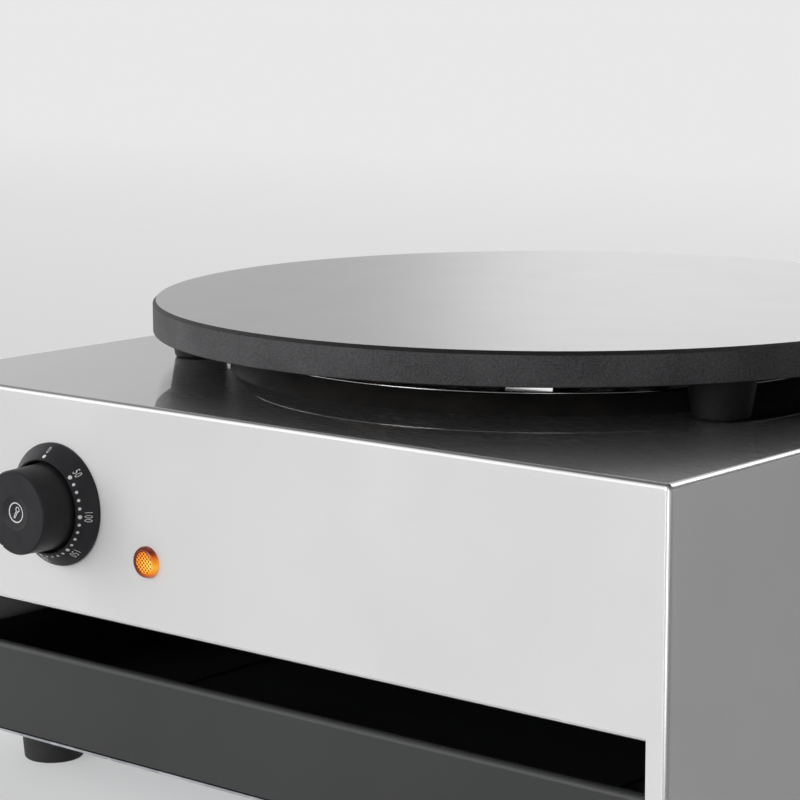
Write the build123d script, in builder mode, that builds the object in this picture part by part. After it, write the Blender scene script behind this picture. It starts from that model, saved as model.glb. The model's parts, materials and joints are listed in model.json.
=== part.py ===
from build123d import *
import math
import os

# Electric crepe maker: a folded sheet-metal box that carries a round cast-iron plate on three bosses,
# with a thermostat knob and a pilot lamp in the front panel and a utensil drawer in the bay below.
# Origin: bottom centre of the whole object. +X is to the right, +Y to the back, +Z up. Millimetres.

os.makedirs("parts", exist_ok=True)

# ---------------------------------------------------------------- driving dimensions
housing_width = 456.0
housing_depth = 450.0
foot_height = 25.0
bay_height = 68.4            # from the base panel's underside to the front panel's lower edge
front_panel_height = 106.6
sheet = 1.2                  # stainless sheet of the housing, base and divider
edge_radius = 2.5            # outside radius of every bend
flange_width = 15.0          # folded-in flanges
jamb_width = 10.0            # front wall left standing at each side of the drawer opening

plate_radius = 200.0
plate_thickness = 16.0
plate_chamfer = 1.7
plate_lower_radius = 0.8
boss_height = 19.0
boss_place = 0.4935           # where a boss stands in the band from the ring's foot to the plate's edge
boss_share = 0.4208          # a boss's top radius as a share of that band
boss_taper = 0.8             # a boss's foot radius as a share of its top radius
boss_foot_rounding = 2.0
boss_angles = (-27.8, 92.2, 212.2)
boss_bolt_radius = 4.0
boss_bolt_bite = 24.0
bolt_head_radius = 7.0
bolt_head_height = 5.3
washer_radius = 9.0
washer_thickness = 1.6

element_radius = 4.25
outer_element_ring = 120.0
element_spacing = 35.0       # from the outer ring to the inner one
element_leg_half_gap = 12.0  # the two legs of an element stand this far each side of the middle
element_bend = 10.0
element_leg_drop = 47.0      # from the ring's centre line down to the end of a leg
insulator_radius = 5.2
insulator_height = 8.0
pin_radius = 2.0
pin_length = 12.0
clamp_bar_offset = 77.2
clamp_bar_width = 26.8
bar_to_ring = 5.0            # from a bar's corner to the outside of the heat shield's rim
bar_end_lift = 6.5           # from the top sheet up to the folded ends of the bars
clamp_end_tilt = 7.0         # the clamp bars' ends lean in at the top by this angle
clamp_bar_thickness = 1.2
sensor_bar_offset = 7.0
sensor_bar_width = 26.4
sensor_bar_back = 30.0
stud_radius = 3.0
stud_bite = 7.0              # how deep a stud goes into the plate
nut_radius = 5.0
nut_height = 4.5
bulb_radius = 3.0
bulb_length = 80.0
bulb_inset = 25.0            # the bulb lies this far inside the outer element
capillary_radius = 0.9
capillary_bend = 8.0

ring_top_radius = 153.8
ring_lean = 7.7              # the foot stands this far outside the top
ring_height = 9.7
ring_wall = 0.8
ring_flange = 9.0
ring_bead_radius = 0.6

pad_side_margin = 33.0       # from the housing's side to the insulation
pad_end_margin = 30.0
pad_thickness = 18.0
tray_thickness = 0.8
tray_lip = 10.0
tray_stud_inset_x = 45.0     # from the insulation's edge
tray_stud_inset_y = 23.0
small_stud_radius = 2.0
small_nut_radius = 3.8
small_nut_height = 3.2

knob_inset = 104.2           # from the housing's left side
knob_drop = 53.7             # below the top sheet
knob_face_radius = 20.2
knob_base_radius = 21.0
knob_reach = 27.0            # from the front panel to the knob's face
knob_base_gap = 3.0
knob_edge_bevel = 0.7
knob_wall = 2.2
knob_dimple_radius = 8.6
knob_dimple_depth = 1.2
knob_hub_radius = 6.0
knob_rest_angle = 209.0      # clockwise from the 0 mark, seen from the front
pointer_width = 1.5
pointer_depth = 1.0
pointer_length = 3.6
bezel_radius = 29.8
bezel_well_radius = 22.5
bezel_rim = 1.5
bezel_height = 9.2
bezel_crest = 0.7            # flat width of the inner rim
bezel_floor = 1.5
shaft_radius = 3.0
shaft_length = 29.0
shaft_flat = 1.3             # from the shaft's axis to its flat
shaft_flat_length = 12.0
clip_length = 9.0
clip_width = 3.2
bush_radius = 4.8
bush_reach = 5.0
bush_depth = 10.0
thermostat_width = 36.0
thermostat_height = 42.0
thermostat_depth = 42.0
thermostat_screw_spacing = 28.0
screw_radius = 2.0
screw_head_radius = 3.6
screw_head_height = 1.9
low_head_height = 1.0        # low heads in the hem, out of sight and clear of the drawer

lamp_spacing = 60.6          # from the knob's axis to the lamp's
lamp_drop = 73.3
lens_radius = 7.5
lens_face_radius = 5.7
lens_rim = 0.6
lens_height = 3.0
lamp_body_radius = 5.6
lamp_body_length = 24.0
lamp_nut_radius = 9.0
lamp_nut_height = 4.0
tab_width = 4.8              # the lamp's two connection tabs
tab_thickness = 0.8
tab_length = 8.0
tab_spacing = 6.0

rear_sheet = 1.0
rear_side_margin = 28.0
rear_low_margin = 2.5
rear_overlap = 12.0
rear_screw_columns = 3
vent_columns = 9
vent_rows = 3
vent_length = 22.0
vent_width = 4.0
gland_inset = 63.0           # from the housing's right side
gland_drop = 65.0
gland_reach = 27.0           # from the housing's rear wall to the gland's mouth
gland_thread_radius = 8.0
gland_bore_radius = 4.5
gland_hex_radius = 11.5
gland_hex_height = 7.0
gland_cap_radius = 10.5
gland_nut_height = 5.0
gland_seal_length = 9.0

block_inset_x = 118.0        # from the housing's right side
block_inset_y = 60.0         # from the rear wall
block_width = 42.0
block_depth = 20.0
block_height = 16.0
block_poles = 3
block_screw_radius = 2.2
block_screw_height = 1.5
earth_inset_x = 48.0
earth_inset_y = 105.0
earth_stud_height = 16.0

drawer_side_gap = 2.0        # from the drawer's side to the opening's
drawer_sheet = 1.2
drawer_floor_bend = 6.0
drawer_wall_height = 33.0
drawer_back_height = 43.0
drawer_end_space = 66.0      # the drawer is this much shorter than the housing
drawer_hold = 84.0           # length of the drawer that stays in at full travel
drawer_front_thickness = 6.0
drawer_front_height = 43.8
drawer_front_gap = 1.0
drawer_bead_inset = 92.0     # from the housing's side
drawer_bead_width = 6.0
drawer_bead_height = 1.5
rivet_radius = 2.0
rivet_head_radius = 4.0
rivet_head_height = 1.2
runner_thickness = 5.8
runner_width = 27.5
runner_guide_height = 22.0
runner_guide_thickness = 1.5
stop_lug_inset = 78.0        # from the housing's side
stop_lug_width = 20.0
stop_lug_overlap = 6.0       # how far the lugs reach below the top of the drawer's back wall

foot_inset_x = 48.0          # from the housing's sides
foot_inset_y = 45.0          # from its front and back
foot_radius = 15.0
foot_top_radius = 17.0
foot_well_radius = 6.5
foot_well_depth = 13.0
foot_screw_radius = 2.5
foot_head_radius = 4.6
foot_head_height = 3.0
foot_nut_radius = 4.6
foot_nut_height = 3.2
foot_rounding = 1.5

wire_radius = 1.6
wire_bend = 12.0
wire_spread = 10.0           # the wires leave the thermostat this far each side of its middle
wire_lift = 15.0             # one wire crosses this far above the others
wire_straight = 30.0         # shortest straight length between two bends
link_drop = 14.0             # the link between the elements hangs this far below their pins

# ---------------------------------------------------------------- clearances
hole_play = 0.3              # screws, studs and bodies in plain holes
running_play = 0.05          # radial, shafts in their bushes
gap = 0.3                    # between pieces that lie close without touching
thread_play = 0.1

# ---------------------------------------------------------------- derived places
half_width = housing_width / 2
half_depth = housing_depth / 2
hood_z = foot_height + sheet
panel_low = foot_height + bay_height
top_z = panel_low + front_panel_height
sheet_under = top_z - sheet
plate_under = top_z + boss_height
plate_top = plate_under + plate_thickness
knob_z = top_z - knob_drop
lamp_z = top_z - lamp_drop
opening_half_width = half_width - jamb_width
divider_z = panel_low + sheet
foot_spread_x = half_width - foot_inset_x
foot_spread_y = half_depth - foot_inset_y
drawer_half_width = opening_half_width - drawer_side_gap
drawer_length = housing_depth - drawer_end_space
drawer_travel = drawer_length - drawer_hold
drawer_bead_x = half_width - drawer_bead_inset
stop_lug_x = half_width - stop_lug_inset
pad_width = housing_width - 2 * pad_side_margin
pad_depth = housing_depth - 2 * pad_end_margin
tray_stud_spread_x = pad_width / 2 - tray_stud_inset_x
tray_stud_spread_y = pad_depth / 2 - tray_stud_inset_y
rear_panel_width = housing_width - 2 * rear_side_margin
rear_panel_height = front_panel_height - 2 * rear_low_margin
knob_x = -half_width + knob_inset
lamp_x = knob_x + lamp_spacing
gland_x = half_width - gland_inset
block_x = half_width - block_inset_x
block_y = half_depth - block_inset_y
earth_x = half_width - earth_inset_x
earth_y = half_depth - earth_inset_y
ring_foot_radius = ring_top_radius + ring_lean
boss_band = plate_radius - ring_foot_radius
boss_circle_radius = ring_foot_radius + boss_place * boss_band
boss_top_radius = boss_share * boss_band
boss_foot_radius = boss_taper * boss_top_radius
bar_corner_radius = ring_top_radius - bar_to_ring
clamp_bar_reach = math.sqrt(bar_corner_radius**2 - (clamp_bar_offset + clamp_bar_width / 2) ** 2)
sensor_bar_front = math.sqrt(bar_corner_radius**2 - (sensor_bar_offset + sensor_bar_width / 2) ** 2)
inner_element_ring = outer_element_ring - element_spacing
bulb_ring = outer_element_ring - bulb_inset
# the clamp bars' studs stand midway between the two elements
stud_circle_radius = (outer_element_ring + inner_element_ring) / 2
stud_spread = math.sqrt(stud_circle_radius**2 - clamp_bar_offset**2)
divider_top = divider_z + sheet
pad_under = sheet_under - pad_thickness
tray_under = pad_under - tray_thickness
element_under = plate_under - element_radius
leg_end_z = plate_under - element_leg_drop
gland_z = top_z - gland_drop
rear_centre_z = (panel_low + top_z) / 2
runner_top = hood_z + sheet + runner_thickness
drawer_under = runner_top + gap
drawer_floor_top = drawer_under + drawer_sheet
drawer_front_top = hood_z + drawer_front_gap + gap + drawer_front_height
tray_front_y = -half_depth + drawer_front_thickness
tray_back_y = tray_front_y + drawer_length
boss_places = [
    (boss_circle_radius * math.cos(math.radians(a)), boss_circle_radius * math.sin(math.radians(a)))
    for a in boss_angles
]
element_legs = {}
for ring_radius in (outer_element_ring, inner_element_ring):
    arc_end_x = element_leg_half_gap + element_bend
    turn = math.asin(arc_end_x / ring_radius)
    leg_x = arc_end_x - element_bend * math.cos(turn)
    leg_y = ring_radius * math.cos(turn) + element_bend * math.sin(turn)
    element_legs[ring_radius] = (math.degrees(turn), leg_x, leg_y)
leg_places = [(side * x, y) for _, x, y in element_legs.values() for side in (-1, 1)]
stud_places = [
    (side * clamp_bar_offset, end * stud_spread) for side in (-1, 1) for end in (-1, 1)
] + [(sensor_bar_offset, -sensor_bar_back - nut_radius)]
sensor_bar_top = plate_under - 2 * bulb_radius - gap
capillary_x = sensor_bar_offset - bulb_length / 2
tray_studs = [
    (sx * tray_stud_spread_x, sy * tray_stud_spread_y) for sx in (-1, 1) for sy in (-1, 1)
]
foot_places = [(sx * foot_spread_x, sy * foot_spread_y) for sx in (-1, 1) for sy in (-1, 1)]

# planes that look at the panels from outside: local x to the right or left, local z outwards
dial_plane = Plane(origin=(knob_x, -half_depth, knob_z), x_dir=(1, 0, 0), z_dir=(0, -1, 0))
dial_side = Plane(origin=(knob_x, -half_depth, knob_z), x_dir=(1, 0, 0), z_dir=(0, 0, -1))
dial_axis = Axis((knob_x, -half_depth, knob_z), (0, -1, 0))
# the dial's plane turned so that its local y points where the knob's pointer does
rest_turn = math.radians(knob_rest_angle)
knob_plane = Plane(
    origin=(knob_x, -half_depth, knob_z),
    x_dir=(math.cos(rest_turn), 0, -math.sin(rest_turn)),
    z_dir=(0, -1, 0),
)
lamp_plane = Plane(origin=(lamp_x, -half_depth, lamp_z), x_dir=(1, 0, 0), z_dir=(0, -1, 0))
lamp_side = Plane(origin=(lamp_x, -half_depth, lamp_z), x_dir=(1, 0, 0), z_dir=(0, 0, -1))
lamp_axis = Axis((lamp_x, -half_depth, lamp_z), (0, -1, 0))
rear_plane = Plane(origin=(0, half_depth, rear_centre_z), x_dir=(-1, 0, 0), z_dir=(0, 1, 0))
gland_plane = Plane(origin=(gland_x, half_depth, gland_z), x_dir=(-1, 0, 0), z_dir=(0, 1, 0))
gland_side = Plane(origin=(gland_x, half_depth, gland_z), x_dir=(1, 0, 0), z_dir=(0, 0, 1))
gland_axis = Axis((gland_x, half_depth, gland_z), (0, 1, 0))

pieces = {}

# ---------------------------------------------------------------- housing
with BuildPart() as hood_cavity:
    with Locations((0, 0, (hood_z + top_z) / 2)):
        Box(housing_width - 2 * sheet, housing_depth - 2 * sheet, top_z - hood_z - 2 * sheet)
    fillet(hood_cavity.edges(), edge_radius - sheet)

thermostat_screw_places = [(-thermostat_screw_spacing / 2, 0), (thermostat_screw_spacing / 2, 0)]
flange_screw_x = half_width - sheet - flange_width / 2
flange_screw_step = housing_depth / 3
hem_screw_y = -half_depth + 0.7 * flange_width
hem_screw_step = housing_width / 3
rear_window_width = rear_panel_width - 2 * rear_overlap
rear_window_height = rear_panel_height - 2 * rear_overlap
rear_screw_spread_x = rear_panel_width - rear_overlap
rear_screw_spread_z = rear_panel_height - rear_overlap

with BuildPart() as housing_shell:
    with Locations((0, 0, (hood_z + top_z) / 2)):
        Box(housing_width, housing_depth, top_z - hood_z)
    fillet(housing_shell.edges(), edge_radius)
    add(hood_cavity.part, mode=Mode.SUBTRACT)
    # the open bottom, which leaves a flange along each side and the back
    with BuildSketch(Plane.XY.offset(hood_z)):
        with Locations((0, -flange_width / 2 - sheet)):
            Rectangle(housing_width - 2 * (flange_width + sheet), housing_depth - flange_width)
    extrude(amount=2 * edge_radius, mode=Mode.SUBTRACT)
    # the drawer opening in the front wall
    with BuildSketch(Plane.XZ.offset(half_depth)):
        with Locations((0, (hood_z + panel_low + edge_radius) / 2)):
            Rectangle(2 * opening_half_width, panel_low + edge_radius - hood_z)
    extrude(amount=-flange_width - 2 * sheet, mode=Mode.SUBTRACT)
    # the front panel's lower edge, folded in
    with BuildSketch(Plane.YZ):
        with BuildLine():
            hem_outer = -half_depth
            hem_arc = CenterArc(
                (hem_outer + edge_radius, panel_low + edge_radius), edge_radius, 180, 90
            )
            hem_inner = CenterArc(
                (hem_outer + edge_radius, panel_low + edge_radius), edge_radius - sheet, 180, 90
            )
            Line(hem_arc @ 0, hem_inner @ 0)
            Polyline(
                hem_arc @ 1,
                (hem_outer + flange_width, panel_low),
                (hem_outer + flange_width, panel_low + sheet),
                hem_inner @ 1,
            )
        make_face()
    extrude(amount=opening_half_width, both=True)
    with BuildSketch(Plane.XY.offset(panel_low)):
        with Locations((0, hem_screw_y)):
            with GridLocations(hem_screw_step, 1, 3, 1):
                Circle(screw_radius + hole_play)
    extrude(amount=sheet, mode=Mode.SUBTRACT)
    # thermostat bush, its screws and the lamp
    with BuildSketch(dial_plane):
        Circle(bush_radius + hole_play)
        with Locations(*thermostat_screw_places):
            Circle(screw_radius + hole_play)
    extrude(amount=-2 * sheet, mode=Mode.SUBTRACT)
    with BuildSketch(lamp_plane):
        Circle(lamp_body_radius + hole_play)
    extrude(amount=-2 * sheet, mode=Mode.SUBTRACT)
    # boss bolts, element legs and the sensor's capillary in the top sheet
    with BuildSketch(Plane.XY.offset(top_z)):
        with Locations(*boss_places):
            Circle(boss_bolt_radius + hole_play)
        with Locations(*leg_places):
            Circle(element_radius + 4 * hole_play)
        with Locations((capillary_x - capillary_bend, -bulb_ring)):
            Circle(capillary_radius + 4 * hole_play)
    extrude(amount=-2 * sheet, mode=Mode.SUBTRACT)
    # the window behind the rear panel, and its screws
    with BuildSketch(rear_plane):
        Rectangle(rear_window_width, rear_window_height)
        with GridLocations(rear_screw_spread_x / 2, rear_screw_spread_z, rear_screw_columns, 2):
            Circle(screw_radius + hole_play)
    extrude(amount=-2 * sheet, mode=Mode.SUBTRACT)
    # base screws in the side flanges
    with BuildSketch(Plane.XY.offset(hood_z)):
        with GridLocations(2 * flange_screw_x, flange_screw_step, 2, 3):
            Circle(screw_radius + hole_play)
    extrude(amount=2 * sheet, mode=Mode.SUBTRACT)
pieces["housing_shell"] = housing_shell

with BuildPart() as rear_panel:
    with BuildSketch(rear_plane):
        RectangleRounded(rear_panel_width, rear_panel_height, edge_radius)
        with GridLocations(rear_screw_spread_x / 2, rear_screw_spread_z, rear_screw_columns, 2):
            Circle(screw_radius + hole_play, mode=Mode.SUBTRACT)
        with Locations((-gland_x, gland_z - rear_centre_z)):
            Circle(gland_thread_radius + hole_play, mode=Mode.SUBTRACT)
        vent_centre_x = (rear_window_width / 2 - gland_x) / 2 + gland_hex_radius
        with Locations((vent_centre_x, 0)):
            with GridLocations(1.4 * vent_length, 4 * vent_width, vent_columns, vent_rows):
                SlotOverall(vent_length, vent_width, mode=Mode.SUBTRACT)
    extrude(amount=rear_sheet)
pieces["rear_panel"] = rear_panel

with BuildPart() as rear_panel_screws:
    with BuildSketch(rear_plane.offset(rear_sheet)):
        with GridLocations(rear_screw_spread_x / 2, rear_screw_spread_z, rear_screw_columns, 2):
            Circle(screw_head_radius)
    extrude(amount=screw_head_height)
    fillet(rear_panel_screws.faces().sort_by(Axis.Y)[-6:].edges(), screw_head_height / 3)
    with BuildSketch(rear_plane.offset(rear_sheet)):
        with GridLocations(rear_screw_spread_x / 2, rear_screw_spread_z, rear_screw_columns, 2):
            Circle(screw_radius)
    extrude(amount=-rear_sheet - 2 * sheet - 3 * screw_radius)
pieces["rear_panel_screws"] = rear_panel_screws

base_margin = edge_radius / 2
with BuildPart() as base_panel:
    with BuildSketch(Plane.XY.offset(foot_height)):
        RectangleRounded(
            housing_width - 2 * base_margin, housing_depth - 2 * base_margin, edge_radius
        )
        with Locations(*foot_places):
            Circle(foot_screw_radius + hole_play, mode=Mode.SUBTRACT)
        with GridLocations(2 * flange_screw_x, flange_screw_step, 2, 3):
            Circle(screw_radius + hole_play, mode=Mode.SUBTRACT)
        with GridLocations(1.6 * vent_length, 4 * vent_width, vent_columns - 2, 2 * vent_rows):
            SlotOverall(vent_length, vent_width, mode=Mode.SUBTRACT)
    extrude(amount=sheet)
pieces["base_panel"] = base_panel

with BuildPart() as base_panel_screws:
    with BuildSketch(Plane.XY.offset(foot_height)):
        with GridLocations(2 * flange_screw_x, flange_screw_step, 2, 3):
            Circle(screw_head_radius)
    extrude(amount=-screw_head_height)
    fillet(base_panel_screws.faces().sort_by(Axis.Z)[:6].edges(), screw_head_height / 3)
    with BuildSketch(Plane.XY.offset(foot_height)):
        with GridLocations(2 * flange_screw_x, flange_screw_step, 2, 3):
            Circle(screw_radius)
    extrude(amount=2 * sheet + 0.7 * runner_thickness)
pieces["base_panel_screws"] = base_panel_screws

# the bay's ceiling, with flanges at the sides and back and two lugs that stop the drawer
stop_lug_y = tray_back_y - drawer_sheet - drawer_travel - gap
drawer_back_top = drawer_under + drawer_back_height
divider_front_y = -half_depth + edge_radius + gap
divider_back_y = half_depth - sheet
with BuildPart() as divider_panel:
    with BuildSketch(Plane.XY.offset(divider_z)):
        with Locations((0, (divider_front_y + divider_back_y) / 2)):
            RectangleRounded(
                housing_width - 2 * sheet, divider_back_y - divider_front_y, edge_radius
            )
    extrude(amount=sheet)
    divider_middle_y = (divider_front_y + divider_back_y) / 2
    divider_flange_z = divider_z + flange_width / 2
    with Locations(*[
        (side * (half_width - 1.5 * sheet), divider_middle_y, divider_flange_z) for side in (-1, 1)
    ]):
        Box(sheet, divider_back_y - divider_front_y - 2 * edge_radius, flange_width)
    with Locations((0, divider_back_y - sheet / 2, divider_flange_z)):
        Box(housing_width - 2 * sheet - 2 * edge_radius, sheet, flange_width)
    lug_low = drawer_back_top - stop_lug_overlap
    with Locations(*[
        (side * stop_lug_x, stop_lug_y - sheet / 2, (lug_low + divider_z) / 2) for side in (-1, 1)
    ]):
        Box(stop_lug_width, sheet, divider_z - lug_low)
    with BuildSketch(rear_plane):
        with GridLocations(rear_screw_spread_x / 2, rear_screw_spread_z, rear_screw_columns, 2):
            Circle(screw_radius + hole_play)
    extrude(amount=-4 * sheet, mode=Mode.SUBTRACT)
    with BuildSketch(Plane.XY.offset(divider_top)):
        with Locations((earth_x, earth_y)):
            Circle(small_stud_radius + hole_play)
        with Locations((0, hem_screw_y)):
            with GridLocations(hem_screw_step, 1, 3, 1):
                Circle(screw_radius + hole_play)
    extrude(amount=-sheet, mode=Mode.SUBTRACT)
pieces["divider_panel"] = divider_panel

with BuildPart() as divider_screws:
    with BuildSketch(Plane.XY.offset(panel_low)):
        with Locations((0, hem_screw_y)):
            with GridLocations(hem_screw_step, 1, 3, 1):
                Circle(screw_head_radius)
    extrude(amount=-low_head_height)
    with BuildSketch(Plane.XY.offset(panel_low)):
        with Locations((0, hem_screw_y)):
            with GridLocations(hem_screw_step, 1, 3, 1):
                Circle(screw_radius)
    extrude(amount=2 * sheet + 2 * screw_radius)
pieces["divider_screws"] = divider_screws

# ---------------------------------------------------------------- drawer runners
for side, name in ((-1, "drawer_runner_left"), (1, "drawer_runner_right")):
    runner_length = housing_depth - 2 * sheet - 2 * flange_width
    guide_x = drawer_half_width + gap + runner_guide_thickness / 2
    with BuildPart() as runner:
        ledge_x = side * (half_width - edge_radius - runner_width / 2)
        with Locations((ledge_x, 0, hood_z + sheet + runner_thickness / 2)):
            Box(runner_width, runner_length, runner_thickness)
        with Locations((side * guide_x, 0, runner_top + runner_guide_height / 2)):
            Box(runner_guide_thickness, runner_length, runner_guide_height)
        with BuildSketch(Plane.XY.offset(hood_z + sheet)):
            with Locations((side * flange_screw_x, 0)):
                with GridLocations(1, flange_screw_step, 1, 3):
                    Circle(screw_radius + thread_play)
        extrude(amount=0.8 * runner_thickness, mode=Mode.SUBTRACT)
    pieces[name] = runner

# ---------------------------------------------------------------- feet
foot_names = ("foot_front_left", "foot_rear_left", "foot_front_right", "foot_rear_right")
for place, name in zip(foot_places, foot_names):
    with BuildPart() as foot:
        with BuildSketch(Plane(origin=(*place, 0), x_dir=(1, 0, 0), z_dir=(0, -1, 0))):
            with BuildLine():
                Polyline(
                    (foot_screw_radius + hole_play, foot_height),
                    (foot_top_radius, foot_height),
                    (foot_radius, 0),
                    (foot_well_radius, 0),
                    (foot_well_radius, foot_well_depth),
                    (foot_screw_radius + hole_play, foot_well_depth),
                    close=True,
                )
            make_face()
        revolve(axis=Axis((*place, 0), (0, 0, 1)))
        foot_rim = foot.edges().group_by(Axis.Z)[0].sort_by(SortBy.LENGTH)[-1]
        fillet(foot_rim, foot_rounding)
    pieces[name] = foot

with BuildPart() as foot_screws:
    with BuildSketch(Plane.XY.offset(foot_well_depth)):
        with Locations(*foot_places):
            Circle(foot_head_radius)
    extrude(amount=-foot_head_height)
    with BuildSketch(Plane.XY.offset(foot_well_depth)):
        with Locations(*foot_places):
            Circle(foot_screw_radius)
    extrude(amount=foot_height - foot_well_depth + sheet + foot_nut_height)
pieces["foot_screws"] = foot_screws

with BuildPart() as foot_nuts:
    with BuildSketch(Plane.XY.offset(foot_height + sheet)):
        with Locations(*foot_places):
            RegularPolygon(foot_nut_radius, 6)
            Circle(foot_screw_radius + thread_play, mode=Mode.SUBTRACT)
    extrude(amount=foot_nut_height)
pieces["foot_nuts"] = foot_nuts

# ---------------------------------------------------------------- cooking plate
with BuildPart() as cooking_plate:
    with BuildSketch(Plane.XY.offset(plate_under)):
        Circle(plate_radius)
    extrude(amount=plate_thickness)
    chamfer(cooking_plate.edges().group_by(Axis.Z)[-1], plate_chamfer)
    fillet(cooking_plate.edges().group_by(Axis.Z)[0], plate_lower_radius)
    for place in boss_places:
        with Locations((*place, top_z + boss_height / 2)):
            Cone(boss_foot_radius, boss_top_radius, boss_height)
    fillet(cooking_plate.edges().group_by(Axis.Z)[0], boss_foot_rounding)
    with BuildSketch(Plane.XY.offset(top_z)):
        with Locations(*boss_places):
            Circle(boss_bolt_radius + thread_play)
    extrude(amount=boss_bolt_bite + gap, mode=Mode.SUBTRACT)
    with BuildSketch(Plane.XY.offset(plate_under)):
        with Locations(*stud_places):
            Circle(stud_radius + thread_play)
    extrude(amount=stud_bite + gap, mode=Mode.SUBTRACT)
    with BuildSketch(Plane.XZ):
        with Locations((outer_element_ring, plate_under), (inner_element_ring, plate_under)):
            Circle(element_radius + thread_play)
    revolve(axis=Axis.Z, mode=Mode.SUBTRACT)
pieces["cooking_plate"] = cooking_plate

with BuildPart() as boss_bolts:
    with BuildSketch(Plane.XY.offset(sheet_under - washer_thickness)):
        with Locations(*boss_places):
            RegularPolygon(bolt_head_radius, 6)
    extrude(amount=-bolt_head_height)
    with BuildSketch(Plane.XY.offset(sheet_under - washer_thickness)):
        with Locations(*boss_places):
            Circle(boss_bolt_radius)
    extrude(amount=washer_thickness + sheet + boss_bolt_bite)
pieces["boss_bolts"] = boss_bolts

with BuildPart() as boss_washers:
    with BuildSketch(Plane.XY.offset(sheet_under)):
        with Locations(*boss_places):
            Circle(washer_radius)
            Circle(boss_bolt_radius + hole_play, mode=Mode.SUBTRACT)
    extrude(amount=-washer_thickness)
pieces["boss_washers"] = boss_washers

# ---------------------------------------------------------------- heating elements and their clamps
for ring_radius, name in (
    (outer_element_ring, "heating_element_outer"), (inner_element_ring, "heating_element_inner")
):
    turn_deg, leg_x, leg_y = element_legs[ring_radius]
    turn = math.radians(turn_deg)
    with BuildPart() as element:
        with BuildLine() as tube_path:
            for side in (-1, 1):
                start = Vector(
                    side * ring_radius * math.sin(turn), ring_radius * math.cos(turn), plate_under
                )
                onward = Vector(-side * math.cos(turn), math.sin(turn), 0)
                middle = start + onward * (element_bend * math.sin(math.pi / 4)) - Vector(
                    0, 0, element_bend * (1 - math.cos(math.pi / 4))
                )
                elbow = start + onward * element_bend - Vector(0, 0, element_bend)
                ThreePointArc(start, middle, elbow)
                Line(elbow, (elbow.X, elbow.Y, leg_end_z))
            ThreePointArc(
                (-ring_radius * math.sin(turn), ring_radius * math.cos(turn), plate_under),
                (0, -ring_radius, plate_under),
                (ring_radius * math.sin(turn), ring_radius * math.cos(turn), plate_under),
            )
        tube_wire = tube_path.wires()[0]
        with BuildSketch(Plane(origin=tube_wire @ 0, z_dir=tube_wire % 0)):
            Circle(element_radius)
        sweep(path=tube_wire)
    pieces[name] = element

with BuildPart() as element_insulators:
    with BuildSketch(Plane.XY.offset(leg_end_z)):
        with Locations(*leg_places):
            Circle(insulator_radius)
    extrude(amount=-insulator_height)
pieces["element_insulators"] = element_insulators

pin_z = leg_end_z - insulator_height
with BuildPart() as element_pins:
    with BuildSketch(Plane.XY.offset(pin_z)):
        with Locations(*leg_places):
            Circle(pin_radius)
    extrude(amount=-pin_length)
pieces["element_pins"] = element_pins

clamp_top = element_under
bar_end_low = top_z + bar_end_lift
tilt = clamp_end_tilt
clamp_end_length = (clamp_top - bar_end_low) / math.cos(math.radians(tilt))
clamp_end_lean = clamp_end_length * math.sin(math.radians(tilt))
bar_end_y = clamp_bar_reach - clamp_end_lean - clamp_bar_thickness / 2
for side, name in ((-1, "clamp_bar_left"), (1, "clamp_bar_right")):
    with BuildPart() as clamp_bar:
        with Locations((side * clamp_bar_offset, 0, clamp_top - clamp_bar_thickness / 2)):
            Box(clamp_bar_width, 2 * bar_end_y, clamp_bar_thickness)
        for end in (-1, 1):
            with Locations(Location((side * clamp_bar_offset, end * bar_end_y, clamp_top), (end * tilt, 0, 0))):
                Box(
                    clamp_bar_width,
                    clamp_bar_thickness,
                    clamp_end_length,
                    align=(Align.CENTER, Align.CENTER, Align.MAX),
                )
        with BuildSketch(Plane.XY.offset(clamp_top)):
            with Locations((side * clamp_bar_offset, 0)):
                with GridLocations(1, 2 * stud_spread, 1, 2):
                    Circle(stud_radius + hole_play)
        extrude(amount=-clamp_bar_thickness, mode=Mode.SUBTRACT)
    pieces[name] = clamp_bar

with BuildPart() as sensor_bar:
    bar_middle_y = -(sensor_bar_front + sensor_bar_back) / 2
    with Locations((sensor_bar_offset, bar_middle_y, sensor_bar_top - clamp_bar_thickness / 2)):
        Box(sensor_bar_width, sensor_bar_front - sensor_bar_back, clamp_bar_thickness)
    front_face_y = -sensor_bar_front + clamp_bar_thickness / 2
    with Locations((sensor_bar_offset, front_face_y, (plate_under - gap + bar_end_low) / 2)):
        Box(sensor_bar_width, clamp_bar_thickness, plate_under - gap - bar_end_low)
    with BuildSketch(Plane.XY.offset(sensor_bar_top)):
        with Locations(stud_places[-1]):
            Circle(stud_radius + hole_play)
    extrude(amount=-clamp_bar_thickness, mode=Mode.SUBTRACT)
pieces["sensor_bar"] = sensor_bar

bar_under = [clamp_top - clamp_bar_thickness] * 4 + [sensor_bar_top - clamp_bar_thickness]
with BuildPart() as clamp_studs:
    for place, low in zip(stud_places, bar_under):
        with BuildSketch(Plane.XY.offset(low - nut_height)):
            with Locations(place):
                Circle(stud_radius)
        extrude(amount=plate_under + stud_bite - low + nut_height)
pieces["clamp_studs"] = clamp_studs

with BuildPart() as clamp_nuts:
    for place, low in zip(stud_places, bar_under):
        with BuildSketch(Plane.XY.offset(low)):
            with Locations(place):
                RegularPolygon(nut_radius, 6)
                Circle(stud_radius + thread_play, mode=Mode.SUBTRACT)
        extrude(amount=-nut_height)
pieces["clamp_nuts"] = clamp_nuts

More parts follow.
